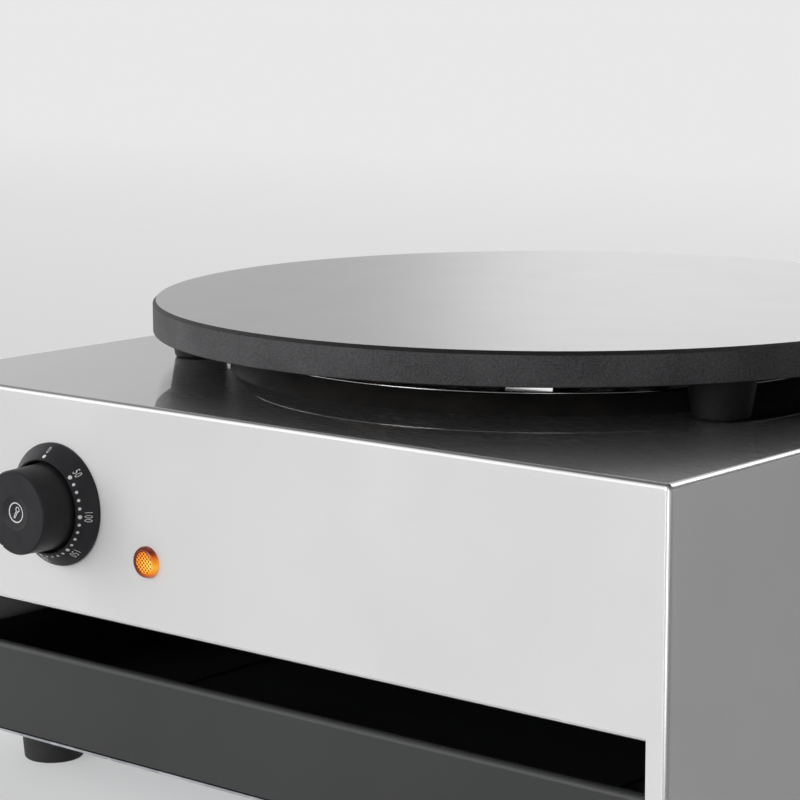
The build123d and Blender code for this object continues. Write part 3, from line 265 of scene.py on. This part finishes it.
def heat_darkened_ring():
    """Stainless strip that the elements have browned to a dark sheen, with its rolled rim rubbed bright by
    cleaning."""
    material, shader, place = new_material("heat_darkened_stainless_strip")
    height = add_node(material, "ShaderNodeSeparateXYZ", {"Vector": place}).outputs["Z"]
    is_rim = add_node(
        material, "ShaderNodeMath", {0: height, 1: RING_RIM_HEIGHT}, operation="GREATER_THAN"
    ).outputs[0]
    stain = unevenness(material, place, 18 * MM, 3, 0.6, (1, 1, 0.4))
    browned = tinted(material, stain, "262424", "343230")
    rubbed = hex_colour("B4B4B4")
    colour = add_node(material, "ShaderNodeMix", {0: is_rim, 6: browned, 7: rubbed}, data_type="RGBA")
    link(material, colour.outputs[2], shader, "Base Color")
    dulled = graded(material, stain, 0.32, 0.42)
    for socket, wall, rim in (("Metallic", 0.35, 1.0), ("Roughness", dulled, 0.15)):
        strip = add_node(material, "ShaderNodeMix", {0: is_rim, 2: wall, 3: rim}).outputs[0]
        link(material, strip, shader, socket)
    return material


def seasoned_cast_iron():
    """Grey cast iron, seasoned black. Its sides and bosses keep the sand-cast skin, with grains of about
    0.8 mm, and what lies under the rim is painted near black as painted shade. The bevel round the top is
    painted dark as painted shade. The top face is turned flat, with a fine satin lay round the centre, and
    has an oiled sheen at a flat angle."""
    material, shader, place = new_material("seasoned_cast_iron")
    shader.inputs["Specular IOR Level"].default_value = 0.25
    shader.inputs["Coat Roughness"].default_value = 0.3
    height = add_node(material, "ShaderNodeSeparateXYZ", {"Vector": place}).outputs["Z"]
    steps = (PLATE_TOP - SURFACE_MARGIN, PLATE_TOP - PLATE_CHAMFER, PLATE_UNDER + 3 * SURFACE_MARGIN)
    is_top, is_edge, is_side = [
        add_node(material, "ShaderNodeMath", {0: height, 1: step}, operation="GREATER_THAN").outputs[0]
        for step in steps
    ]
    grains = unevenness(material, place, 0.8 * MM, 3, 0.7)
    patches = unevenness(material, place, 35 * MM, 3, 0.5)
    lay = add_node(
        material,
        "ShaderNodeTexWave",
        {
            "Vector": place,
            "Scale": math.tau / (WAVE_RATE * LAY_PITCH),
            "Distortion": 2.0,
            "Detail": 2.0,
            "Detail Scale": 0.5,
        },
        wave_type="RINGS",
        rings_direction="Z",
    ).outputs["Fac"]
    grainy = (0.38, 0.62)
    uneven = add_node(material, "ShaderNodeMix", {0: 0.3, 2: grains, 3: patches}).outputs[0]
    cast = tinted(material, uneven, "303032", "565658", grainy)
    turned = tinted(material, patches, "707071", "7C7C7D")
    # from the underside up: the underside, painted near black as painted shade; the cast side; the bevel,
    # painted dark as painted shade; and the turned top
    colour = tinted(material, grains, "0A0A0A", "1A1A1A", grainy)
    for mask, higher in ((is_side, cast), (is_edge, hex_colour("1E1E1F")), (is_top, turned)):
        colour = add_node(
            material, "ShaderNodeMix", {0: mask, 6: colour, 7: higher}, data_type="RGBA"
        ).outputs[2]
    link(material, colour, shader, "Base Color")
    cast_rough = graded(material, grains, 0.48, 0.62)
    top_rough = graded(material, lay, 0.32, 0.38, (0.0, 1.0))
    rough = add_node(material, "ShaderNodeMix", {0: is_top, 2: cast_rough, 3: top_rough})
    link(material, rough.outputs[0], shader, "Roughness")
    link(material, is_top, shader, "Metallic")
    link(material, is_top, shader, "Coat Weight")
    faint_lay = add_node(material, "ShaderNodeMath", {0: lay, 1: 0.02}, operation="MULTIPLY").outputs[0]
    skin = add_node(material, "ShaderNodeMix", {0: is_top, 2: grains, 3: faint_lay}).outputs[0]
    relief = add_node(material, "ShaderNodeBump", {"Height": skin, "Distance": 0.35 * MM, "Strength": 1.0})
    link(material, relief.outputs["Normal"], shader, "Normal")
    return material


def heater_tube():
    """Nickel-alloy heater sheath, brown and blue-grey from heat."""
    material, shader, place = new_material("oxidised_heater_sheath")
    shader.inputs["Metallic"].default_value = 0.8
    stain = unevenness(material, place, 12 * MM, 3, 0.6)
    heat_colours = add_node(
        material,
        "ShaderNodeValToRGB",
        {"Fac": stain},
        [(0.3, hex_colour("4A433C")), (0.55, hex_colour("5A5652")), (0.75, hex_colour("6A6F76"))],
    )
    link(material, heat_colours.outputs["Color"], shader, "Base Color")
    link(material, graded(material, stain, 0.55, 0.4), shader, "Roughness")
    return material


def plain_metal(name, low, high, rough, patch):
    """A small metal piece: its colour and gloss vary a little from place to place."""
    material, shader, place = new_material(name)
    shader.inputs["Metallic"].default_value = 1.0
    mottle = unevenness(material, place, patch, 3, 0.6)
    link(material, tinted(material, mottle, low, high), shader, "Base Color")
    link(material, graded(material, mottle, rough, rough + 0.12), shader, "Roughness")
    return material


def moulded_plastic(name, low, high, rough, grain, depth, ior=1.5):
    """A moulded piece with a spark-eroded grain, and a slight unevenness of colour."""
    material, shader, place = new_material(name)
    shader.inputs["IOR"].default_value = ior
    texture = unevenness(material, place, grain, 2, 0.6)
    patches = unevenness(material, place, 9 * MM, 3, 0.5)
    link(material, tinted(material, patches, low, high), shader, "Base Color")
    link(material, graded(material, texture, rough, rough + 0.1), shader, "Roughness")
    relief = add_node(material, "ShaderNodeBump", {"Height": texture, "Distance": depth, "Strength": 0.6})
    link(material, relief.outputs["Normal"], shader, "Normal")
    return material


def powder_coat():
    """Dark grey polyester powder coat on steel: low gloss, with an orange peel of about 1.5 mm."""
    material, shader, place = new_material("dark_grey_powder_coat")
    peel = unevenness(material, place, 1.5 * MM, 1, 0.5)
    patches = unevenness(material, place, 60 * MM, 2, 0.5)
    link(material, tinted(material, patches, "2C2D2E", "323334"), shader, "Base Color")
    link(material, graded(material, peel, 0.36, 0.44), shader, "Roughness")
    relief = add_node(material, "ShaderNodeBump", {"Height": peel, "Distance": 0.02 * MM, "Strength": 0.5})
    link(material, relief.outputs["Normal"], shader, "Normal")
    return material


def mineral_wool():
    """Mineral wool felt: tangled pale fibres, drawn about 1.5 mm thick and 12 mm long."""
    material, shader, place = new_material("mineral_wool_felt")
    shader.inputs["Roughness"].default_value = 0.95
    fibres = unevenness(material, place, 1.5 * MM, 4, 0.7, (8, 1, 1))
    crossed = unevenness(material, place, 1.5 * MM, 4, 0.7, (1, 8, 1))
    tangle = add_node(material, "ShaderNodeMix", {0: 0.5, 2: fibres, 3: crossed}).outputs[0]
    link(material, tinted(material, tangle, "A89C78", "D8CDA8", (0.35, 0.65)), shader, "Base Color")
    relief = add_node(material, "ShaderNodeBump", {"Height": tangle, "Distance": 0.8 * MM, "Strength": 0.8})
    link(material, relief.outputs["Normal"], shader, "Normal")
    return material


def striped_wire():
    """Earth wire: green insulation with a yellow stripe that winds round it."""
    material, shader, place = new_material("green_and_yellow_wire_insulation")
    shader.inputs["Roughness"].default_value = 0.4
    stripe = add_node(
        material,
        "ShaderNodeTexWave",
        {"Vector": place, "Scale": math.tau / (WAVE_RATE / 2 * STRIPE_PITCH)},
        wave_type="BANDS",
        bands_direction="DIAGONAL",
    ).outputs["Fac"]
    link(material, tinted(material, stripe, "2F7A2B", "E0C320", (0.48, 0.52)), shader, "Base Color")
    return material


NEON_GLOW = [
    (0.04, hex_colour("FFFBE0")),
    (0.16, hex_colour("FFD65A")),
    (0.38, hex_colour("FBA21E")),
    (0.62, hex_colour("D96A12")),
    (0.80, hex_colour("93340E")),
    (0.95, hex_colour("43160C")),
]
VALLEY = 0.93  # where the dark valleys of the moulded grid stand on that ramp


def lit_amber(name, glow, reach, dotted):
    """Clear amber polycarbonate with a neon lamp close behind its lower right: brightest there, and brown
    beyond reach. The face is moulded with a cornerwise grid of small pyramids, 1.5 mm apart, dark in the
    valleys."""
    material, shader, place = new_material(name)
    shader.inputs["IOR"].default_value = 1.58
    shader.inputs["Roughness"].default_value = 0.08
    shader.inputs["Specular IOR Level"].default_value = 0.3
    shader.inputs["Emission Strength"].default_value = glow
    lamp = Vector((LAMP_X, PANEL_Y, LAMP_Z)) + Vector((4.2, -1.5, -1.2)) * MM
    # the light reaches less far up and down than sideways, so the rim is brown above and below
    squash = Vector((1.0, 1.0, 1.5))
    centred = add_node(
        material, "ShaderNodeMapping", {"Vector": place, "Scale": squash, "Location": -lamp * squash}
    ).outputs["Vector"]
    away = add_node(material, "ShaderNodeVectorMath", {0: centred}, operation="LENGTH").outputs["Value"]
    share = add_node(
        material, "ShaderNodeMath", {0: away, 1: reach}, operation="DIVIDE", use_clamp=True
    ).outputs[0]
    specks = unevenness(material, place, 2.0 * MM, 2, 0.6)
    fall = add_node(material, "ShaderNodeMix", {0: 0.2, 2: share, 3: specks}).outputs[0]
    if dotted:
        turned = add_node(
            material,
            "ShaderNodeMapping",
            {"Vector": place, "Location": (-LAMP_X, 0, -LAMP_Z), "Rotation": (0, math.radians(45), 0)},
        ).outputs["Vector"]
        waves = [
            add_node(
                material,
                "ShaderNodeTexWave",
                {"Vector": turned, "Scale": math.tau / (WAVE_RATE * GRID_PITCH)},
                wave_type="BANDS",
                bands_direction=direction,
            ).outputs["Fac"]
            for direction in ("X", "Z")
        ]
        crossed = add_node(material, "ShaderNodeMix", {0: 0.5, 2: waves[0], 3: waves[1]}).outputs[0]
        ridges = graded(material, crossed, 0.0, 1.0, (0.28, 0.52))
        fall = add_node(material, "ShaderNodeMix", {0: ridges, 2: VALLEY, 3: fall}).outputs[0]
    colour = add_node(material, "ShaderNodeValToRGB", {"Fac": fall}, NEON_GLOW).outputs["Color"]
    link(material, colour, shader, "Emission Color")
    unlit = hex_colour("240A05")
    dim = add_node(material, "ShaderNodeMix", {0: 0.88, 6: colour, 7: unlit}, data_type="RGBA").outputs[2]
    link(material, dim, shader, "Base Color")
    return material


def printed_white():
    """White pad-printing ink: matt, a little uneven where the ink is thin."""
    material, shader, place = new_material("white_pad_printing_ink")
    shader.inputs["Roughness"].default_value = 0.6
    thin = unevenness(material, place, 0.6 * MM, 2, 0.5)
    link(material, tinted(material, thin, "DADADA", "F4F4F4", (0.3, 0.6)), shader, "Base Color")
    return material


white_ink = printed_white()
slot_materials = {
    "heat_tinted_steel": plain_metal("heat_tinted_mild_steel", "3A3129", "4C4038", 0.5, 9 * MM),
    "brushed_stainless": satin_stainless(),
    "galvanised_steel": galvanised_steel(),
    "polished_stainless": polished_stainless(),
    "seasoned_cast_iron": seasoned_cast_iron(),
    "heater_tube": heater_tube(),
    "zinc_plated_steel": plain_metal("zinc_plated_steel", "A9AEB5", "C3C7CC", 0.24, 3 * MM),
    "brass_terminal": plain_metal("drawn_brass", "B89B58", "CDB06A", 0.28, 3 * MM),
    "copper_sensor": plain_metal("drawn_copper_tube", "B06F4C", "C98560", 0.3, 6 * MM),
    "black_thermoset": moulded_plastic(
        "black_phenolic_moulding", "2A2A2C", "323235", 0.38, 0.35 * MM, 0.02 * MM, 1.25
    ),
    "white_inlay": white_ink,
    "amber_lens": lit_amber("lit_amber_polycarbonate", 1.0, 20 * MM, True),
    "white_ceramic": moulded_plastic(
        "steatite_ceramic", "DDDAD2", "E8E5DE", 0.5, 0.8 * MM, 0.02 * MM, 1.6
    ),
    "thermostat_moulding": moulded_plastic(
        "pale_melamine_moulding", "C9C2B2", "D4CDBE", 0.42, 0.6 * MM, 0.02 * MM
    ),
    "mineral_wool": mineral_wool(),
    "black_polyamide": moulded_plastic(
        "black_polyamide_moulding", "1E1E1F", "262627", 0.38, 0.5 * MM, 0.03 * MM
    ),
    "black_rubber": moulded_plastic(
        "black_moulded_rubber", "1B1B1B", "232323", 0.62, 0.8 * MM, 0.04 * MM
    ),
    "slate_powder_coat": powder_coat(),
    "black_nylon": moulded_plastic(
        "black_nylon_moulding", "1F1F20", "272728", 0.4, 0.8 * MM, 0.02 * MM
    ),
    "silicone_wire": moulded_plastic(
        "red_silicone_insulation", "8E2A1C", "A23324", 0.5, 1.0 * MM, 0.02 * MM
    ),
    "earth_wire": striped_wire(),
}

for entry in frame["record"]["subparts"]:
    cad_node = nodes[entry["node"]]
    cad_node.data.materials.clear()
    cad_node.data.materials.append(slot_materials[entry["material_slot"]])
nodes["heat_shield_ring"].data.materials[0] = heat_darkened_ring()

# ---------------------------------------------------------------- making pieces
WELD = 0.001 * MM  # corners closer than this are one
PRINT_WELD = 0.0001 * MM


def make_piece(name, shape, material, body, smooth_angle=None):
    """Turns a finished bmesh into a piece that rides on a body. Edges sharper than smooth_angle, in degrees,
    stay sharp."""
    mesh = bpy.data.meshes.new(name)
    shape.to_mesh(mesh)
    shape.free()
    mesh.materials.append(material)
    piece = bpy.data.objects.new(name, mesh)
    bpy.context.scene.collection.objects.link(piece)
    if smooth_angle is not None:
        mesh.shade_smooth()
        mesh.set_sharp_from_angle(angle=math.radians(smooth_angle))
    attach(piece, body)
    return piece


def spun_profile(points, steps):
    """A closed profile of (radius, height) points spun round the Z axis."""
    shape = bmesh.new()
    ring = [shape.verts.new((radius, 0, height)) for radius, height in points]
    for i, vertex in enumerate(ring):
        shape.edges.new((vertex, ring[(i + 1) % len(ring)]))
    bmesh.ops.spin(
        shape,
        geom=shape.verts[:] + shape.edges[:],
        axis=(0, 0, 1),
        cent=(0, 0, 0),
        angle=math.tau,
        steps=steps,
        use_merge=True,
    )
    bmesh.ops.remove_doubles(shape, verts=shape.verts, dist=WELD)
    bmesh.ops.recalc_face_normals(shape, faces=shape.faces)
    return shape


# a panel-mounted shape is made with its axis on +Z, then turned to look out of the front panel
FACE_FORWARD = Matrix.Rotation(math.radians(90), 4, "X")


def on_panel(shape, x, z):
    """Turns a shape made along +Z to face the front, and puts it at (x, z) on the front panel."""
    bmesh.ops.transform(
        shape, matrix=Matrix.Translation((x, PANEL_Y, z)) @ FACE_FORWARD, verts=shape.verts
    )


def cone_height(radius):
    """How far the dial's cone stands off the panel at a radius."""
    share = (radius - DIAL_CREST_RADIUS) / (DIAL_RIM_RADIUS - DIAL_CREST_RADIUS)
    return DIAL_CREST_HEIGHT + (DIAL_RIM_HEIGHT - DIAL_CREST_HEIGHT) * share


CONE_SLOPE = math.atan2(DIAL_CREST_HEIGHT - DIAL_RIM_HEIGHT, DIAL_RIM_RADIUS - DIAL_CREST_RADIUS)
CONE_STRETCH = 1 / math.cos(CONE_SLOPE)


def wrap_on_cone(shape, radius, clockwise):
    """Bends a flat print, made round the origin with +Y outwards, onto the dial's cone at an angle from the
    top."""
    for vertex in shape.verts:
        sideways, outwards, lift = vertex.co
        reach = radius + outwards / CONE_STRETCH
        angle = math.radians(clockwise) + sideways / radius
        height = cone_height(reach) + lift / math.cos(CONE_SLOPE)
        vertex.co = (reach * math.sin(angle), reach * math.cos(angle), height)


def text_shape(text):
    """Printed characters as a thin flat solid, centred on the origin."""
    curve = bpy.data.curves.new("digits", "FONT")
    curve.body = text
    curve.align_x = "CENTER"
    curve.align_y = "CENTER"
    curve.size = 1.0
    curve.space_character = DIGIT_SPREAD
    curve.offset = -DIGIT_THINNING
    curve.resolution_u = 6
    holder = bpy.data.objects.new("digits", curve)
    bpy.context.scene.collection.objects.link(holder)
    flat = bpy.data.meshes.new_from_object(holder)
    bpy.data.objects.remove(holder)
    shape = bmesh.new()
    shape.from_mesh(flat)
    bpy.data.meshes.remove(flat)
    low = Vector([min(v.co[i] for v in shape.verts) for i in range(3)])
    high = Vector([max(v.co[i] for v in shape.verts) for i in range(3)])
    factor = DIGIT_HEIGHT / (high.y - low.y)
    bmesh.ops.translate(shape, vec=-(low + high) / 2, verts=shape.verts)
    bmesh.ops.scale(shape, vec=(factor * DIGIT_SQUEEZE, factor, 1), verts=shape.verts)
    return thicken(shape)


def thicken(shape):
    """Gives a flat print its ink thickness, sunk a little into what it is printed on."""
    bmesh.ops.remove_doubles(shape, verts=shape.verts, dist=PRINT_WELD)
    bmesh.ops.recalc_face_normals(shape, faces=shape.faces)
    if sum(face.normal.z for face in shape.faces) < 0:
        bmesh.ops.reverse_faces(shape, faces=shape.faces)
    result = bmesh.ops.extrude_face_region(shape, geom=shape.faces[:])
    top = [item for item in result["geom"] if isinstance(item, bmesh.types.BMVert)]
    bmesh.ops.translate(shape, vec=(0, 0, PRINT_THICKNESS + PRINT_SINK), verts=top)
    bmesh.ops.translate(shape, vec=(0, 0, -PRINT_SINK), verts=shape.verts)
    bmesh.ops.recalc_face_normals(shape, faces=shape.faces)
    return shape


def disc_shape(radius, segments=20):
    """A printed dot."""
    shape = bmesh.new()
    bmesh.ops.create_circle(shape, cap_ends=True, segments=segments, radius=radius)
    return thicken(shape)


def join_shapes(shapes):
    """Several bmeshes as one."""
    whole = bmesh.new()
    for shape in shapes:
        mesh = bpy.data.meshes.new("joined")
        shape.to_mesh(mesh)
        shape.free()
        whole.from_mesh(mesh)
        bpy.data.meshes.remove(mesh)
    return whole


# ---------------------------------------------------------------- the dial's printing
MARKS = 7
FIRST_MARK = 1.0  # degrees clockwise from the top
DEGREES_PER_MARK = 46.8
DEGREES_PER_NUMERAL = 50  # of temperature
STEPS_PER_MARK = 5
DOT_RADIUS = 24.3 * MM
NUMERAL_RADIUS = 26.95 * MM
BIG_DOT = 1.0 * MM
SMALL_DOT = 0.75 * MM
DIGIT_HEIGHT = 3.8 * MM
DIGIT_SQUEEZE = 0.62
DIGIT_SPREAD = 1.12
DIGIT_THINNING = 0.011
dots = []
numerals = []
for mark in range(MARKS):
    turn = FIRST_MARK + mark * DEGREES_PER_MARK
    dot = disc_shape(BIG_DOT)
    wrap_on_cone(dot, DOT_RADIUS, turn)
    dots.append(dot)
    number = text_shape(str(mark * DEGREES_PER_NUMERAL))
    wrap_on_cone(number, NUMERAL_RADIUS, turn)
    numerals.append(number)
    if 0 < mark < MARKS - 1:
        for step in range(1, STEPS_PER_MARK):
            dot = disc_shape(SMALL_DOT, 16)
            wrap_on_cone(dot, DOT_RADIUS, turn + step * DEGREES_PER_MARK / STEPS_PER_MARK)
            dots.append(dot)
for name, shapes in (("dial_dots", dots), ("dial_numerals", numerals)):
    printing = join_shapes(shapes)
    on_panel(printing, DIAL_X, DIAL_Z)
    make_piece(name, printing, white_ink, "housing")

# ---------------------------------------------------------------- the mark on the knob's face
MARK_RADIUS = 4.9 * MM
MARK_STROKE = 0.55 * MM
DISH_RADIUS = (DIMPLE_RADIUS**2 + DIMPLE_DEPTH**2) / (2 * DIMPLE_DEPTH)


def outline_band(points, stroke):
    """A closed flat band of a given width along a closed line of points."""
    shape = bmesh.new()
    line = [shape.verts.new((x, y, 0)) for x, y in points]
    shape.faces.new(line)
    bmesh.ops.recalc_face_normals(shape, faces=shape.faces)
    inner = bmesh.ops.inset_region(
        shape, faces=shape.faces[:], thickness=stroke, use_even_offset=True, use_boundary=True
    )
    middle = [face for face in shape.faces if face not in inner["faces"]]
    bmesh.ops.delete(shape, geom=middle, context="FACES")
    return shape


def circle_points(radius, count, centre=(0, 0), start=0.0, sweep=360.0):
    """Points clockwise round a circle or an arc. start and sweep are in degrees from the top."""
    closed = sweep >= 360
    steps = count if closed else count - 1
    return [
        (
            centre[0] + radius * math.sin(math.radians(start + sweep * i / steps)),
            centre[1] + radius * math.cos(math.radians(start + sweep * i / steps)),
        )
        for i in range(count)
    ]


def lay_in_dish(shape):
    """Drapes a flat print over the dish in the knob's face."""
    for vertex in shape.verts:
        away = math.hypot(vertex.co.x, vertex.co.y)
        floor = KNOB_REACH - DIMPLE_DEPTH + away * away / (2 * DISH_RADIUS)
        vertex.co.z += floor


mark_ring = outline_band(circle_points(MARK_RADIUS, 72), MARK_STROKE)
# a thermometer's outline: a round bulb and a narrow stem with a round end
BULB = 1.35 * MM
STEM = 0.62 * MM
BULB_Y = -1.75 * MM
STEM_END_Y = 2.55 * MM
STEM_STROKE = 0.42 * MM
bulb_angle = math.degrees(math.asin(STEM / BULB))
thermometer = circle_points(BULB, 22, (0, BULB_Y), bulb_angle, 360 - 2 * bulb_angle)
thermometer += circle_points(STEM, 9, (0, STEM_END_Y), -90, 180)
mark_stem = outline_band(thermometer, STEM_STROKE)
knob_mark = join_shapes([thicken(mark_ring), thicken(mark_stem)])
bmesh.ops.rotate(
    knob_mark,
    matrix=Matrix.Rotation(math.radians(-KNOB_REST_ANGLE), 3, "Z"),
    verts=knob_mark.verts,
)
lay_in_dish(knob_mark)
on_panel(knob_mark, DIAL_X, DIAL_Z)
make_piece("knob_mark", knob_mark, white_ink, "knob")

# ---------------------------------------------------------------- the pilot lamp's lens
LENS_FOOT = 7.5 * MM
LENS_FACE = 5.7 * MM
LENS_RIM = 0.6 * MM
LENS_HEIGHT = 3.0 * MM
LENS_LIP = 0.35 * MM  # how far the shoulder turns down inside its crest
LENS_DISH = 0.85 * MM  # how far the grid face lies below the crest
PYRAMID = 0.42 * MM
SHOULDER_STEPS = 7
TRIM_SIDES = 24
FACE_SHARE = 0.93  # the grid face reaches a little under the shoulder

shoulder = [
    (
        LENS_FACE + (LENS_FOOT - LENS_FACE) * math.cos(math.radians(90 * i / SHOULDER_STEPS)),
        LENS_RIM + (LENS_HEIGHT - LENS_RIM) * math.sin(math.radians(90 * i / SHOULDER_STEPS)),
    )
    for i in range(SHOULDER_STEPS + 1)
]
lens_profile = [(LENS_FACE * 0.9, 0.0), (LENS_FOOT, 0.0), *shoulder]
lens_profile += [(LENS_FACE * 0.94, LENS_HEIGHT - LENS_LIP), (LENS_FACE * 0.9, LENS_HEIGHT - 0.9 * MM)]
lens = spun_profile(lens_profile, 72)
# the face: a field of small square pyramids set cornerwise, trimmed to the round
face = bmesh.new()
cells = int(2 * LENS_FACE / GRID_PITCH) + 2
bmesh.ops.create_grid(face, x_segments=cells, y_segments=cells, size=cells * GRID_PITCH / 2)
bmesh.ops.rotate(face, matrix=Matrix.Rotation(math.radians(45), 3, "Z"), verts=face.verts)
bmesh.ops.poke(face, faces=face.faces[:], offset=PYRAMID)
for side in range(TRIM_SIDES):
    turn = math.tau * side / TRIM_SIDES
    out = Vector((math.cos(turn), math.sin(turn), 0))
    bmesh.ops.bisect_plane(
        face,
        geom=face.verts[:] + face.edges[:] + face.faces[:],
        plane_co=out * LENS_FACE * FACE_SHARE,
        plane_no=out,
        clear_outer=True,
    )
bmesh.ops.translate(face, vec=(0, 0, LENS_HEIGHT - LENS_DISH), verts=face.verts)
edge_loop = [edge for edge in face.edges if edge.is_boundary]
wall = bmesh.ops.extrude_edge_only(face, edges=edge_loop)["geom"]
for item in wall:
    if isinstance(item, bmesh.types.BMVert):
        item.co.z = 0.1 * MM
floor_edges = [item for item in wall if isinstance(item, bmesh.types.BMEdge)]
bmesh.ops.holes_fill(face, edges=floor_edges)
bmesh.ops.recalc_face_normals(face, faces=face.faces)
on_panel(lens, LAMP_X, LAMP_Z)
on_panel(face, LAMP_X, LAMP_Z)
rim_material = lit_amber("amber_lens_rim", 0.9, 9.8 * MM, False)
lens_rim = make_piece("pilot_lens_rim", lens, rim_material, "housing", 40)
make_piece("pilot_lens_face", face, slot_materials["amber_lens"], "housing")
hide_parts("pilot_lamp_lens")

# ---------------------------------------------------------------- the studio
CARD_LIFT = 2 * MM


def studio_board(name, half_size, centre, material, turn=0.0):
    """A flat board on the floor. turn is in degrees."""
    shape = bmesh.new()
    bmesh.ops.create_grid(shape, x_segments=1, y_segments=1, size=1.0)
    bmesh.ops.scale(shape, vec=(*half_size, 1), verts=shape.verts)
    bmesh.ops.rotate(shape, matrix=Matrix.Rotation(math.radians(turn), 3, "Z"), verts=shape.verts)
    bmesh.ops.translate(shape, vec=centre, verts=shape.verts)
    mesh = bpy.data.meshes.new(name)
    shape.to_mesh(mesh)
    shape.free()
    mesh.materials.append(material)
    board = bpy.data.objects.new(name, mesh)
    bpy.context.scene.collection.objects.link(board)
    return board


def mirror_card(name, half_size, centre, material, turn=0.0):
    """A glowing card that shows in mirrors alone, and lights nothing else."""
    card = studio_board(name, half_size, (*centre, CARD_LIFT), material, turn)
    card.visible_camera = False
    card.visible_diffuse = False
    card.visible_shadow = False
    return card


def studio_paper():
    """Matt paper. It is lifted towards white for the eye and for mirrors alone, more so far back, and keeps
    its shadows."""
    material, shader, place = new_material("matt_studio_paper")
    shader.inputs["Base Color"].default_value = hex_colour("C2C2C2")
    shader.inputs["Roughness"].default_value = 0.9
    shader.inputs["Specular IOR Level"].default_value = 0.0
    shader.inputs["Emission Color"].default_value = grey(1.0)
    seen = add_node(material, "ShaderNodeLightPath").outputs
    lift = add_node(
        material,
        "ShaderNodeMath",
        {0: seen["Is Camera Ray"], 1: seen["Is Glossy Ray"]},
        operation="MAXIMUM",
    ).outputs[0]
    far = add_node(
        material,
        "ShaderNodeMapRange",
        {
            "Value": add_node(material, "ShaderNodeSeparateXYZ", {"Vector": place}).outputs["Y"],
            "From Min": 0.8,
            "From Max": 3.2,
            "To Min": FLOOR_LIFT - 0.07,
            "To Max": FLOOR_LIFT + 0.05,
        },
    ).outputs["Result"]
    lifted = add_node(material, "ShaderNodeMath", {0: lift, 1: far}, operation="MULTIPLY").outputs[0]
    link(material, lifted, shader, "Emission Strength")
    return material


def grey_board():
    """A graduated grey card, darker towards the back."""
    material, shader, place = new_material("graduated_grey_card")
    shader.inputs["Base Color"].default_value = grey(0.0)
    shader.inputs["Roughness"].default_value = 1.0
    shader.inputs["Specular IOR Level"].default_value = 0.0
    shader.inputs["Emission Strength"].default_value = 1.0
    along = add_node(material, "ShaderNodeSeparateXYZ", {"Vector": place}).outputs["Y"]
    link(material, graded(material, along, CARD_NEAR, CARD_FAR, (0.1, 0.8)), shader, "Emission Color")
    return material


def white_board():
    """White card under a lamp."""
    material, shader, _ = new_material("white_card_board")
    shader.inputs["Emission Color"].default_value = grey(1.0)
    shader.inputs["Emission Strength"].default_value = WHITE_CARD
    return material


studio_floor = studio_board("studio_floor", (60.0, 60.0), (0.0, 0.0, 0.0), studio_paper())
# the right side mirrors the grey card, and the corner bend draws the white one out into a bright line
grey_card = mirror_card("grey_card", (0.86, 1.25), (1.089, 0.85), grey_board())
white_card = mirror_card("white_card", (0.12, 0.62), (0.80, -1.04), white_board(), 35)


def light_air():
    """The room is brightest in front on the left, falls off to the right and behind, and is dark straight
    above."""
    world = bpy.data.worlds.new("studio_air")
    bpy.context.scene.world = world
    world.use_nodes = True
    look = add_node(world, "ShaderNodeTexCoord").outputs["Generated"]
    slope = Vector((-0.85, -0.5, 0.0)) * ROOM_SLOPE
    level = add_node(
        world, "ShaderNodeVectorMath", {0: look, 1: slope}, operation="DOT_PRODUCT"
    ).outputs["Value"]
    height = add_node(world, "ShaderNodeSeparateXYZ", {"Vector": look}).outputs["Z"]
    overhead = graded(world, height, 1.0, ZENITH_SHARE, (0.45, 0.86))
    for operation, other in (("ADD", ROOM_MIDDLE), ("MAXIMUM", ROOM_LEAST), ("MULTIPLY", overhead)):
        level = add_node(world, "ShaderNodeMath", {0: level, 1: other}, operation=operation).outputs[0]
    link(world, level, world.node_tree.nodes["Background"], "Color")


def window_light(name, place, strength, spread):
    """A broad far light that shines from the direction of place on the object. spread is in degrees."""
    data = bpy.data.lights.new(name, "SUN")
    data.energy = strength
    data.angle = math.radians(spread)
    lamp = bpy.data.objects.new(name, data)
    lamp.location = place
    lamp.rotation_mode = "QUATERNION"
    lamp.rotation_quaternion = (-Vector(place)).to_track_quat("-Z", "Y")
    bpy.context.scene.collection.objects.link(lamp)


light_air()
window_light("left_window", (-4.6, -0.8, 0.9), LEFT_WINDOW, 40)
window_light("rear_window", (0.5, 3.7, 3.0), REAR_WINDOW, 26)
window_light("low_rear_window", (-0.9, 3.6, 0.85), LOW_REAR_WINDOW, 50)
window_light("front_window", (-1.3, -4.5, 1.2), FRONT_WINDOW, 24)
window_light("near_window", (2.7, -3.8, 0.15), NEAR_WINDOW, 15)

# ---------------------------------------------------------------- camera
CAMERA_PLACE = (0.79605, -1.06441, 0.40285)
CAMERA_TURN = 0.69897  # radians, as are the next two
CAMERA_DIP = 0.165939
CAMERA_ROLL = -0.0032476
camera_data = bpy.data.cameras.new("camera")
camera_data.sensor_width = 36.0
camera_data.lens = 118.5896
camera_data.clip_start = 0.01
camera_data.clip_end = 50.0
camera = bpy.data.objects.new("camera", camera_data)
bpy.context.scene.collection.objects.link(camera)
camera.matrix_world = (
    Matrix.Translation(CAMERA_PLACE)
    @ Matrix.Rotation(CAMERA_TURN, 4, "Z")
    @ Matrix.Rotation(math.pi / 2 - CAMERA_DIP, 4, "X")
    @ Matrix.Rotation(CAMERA_ROLL, 4, "Z")
)
bpy.context.scene.camera = camera
bpy.context.scene.view_settings.view_transform = "Standard"
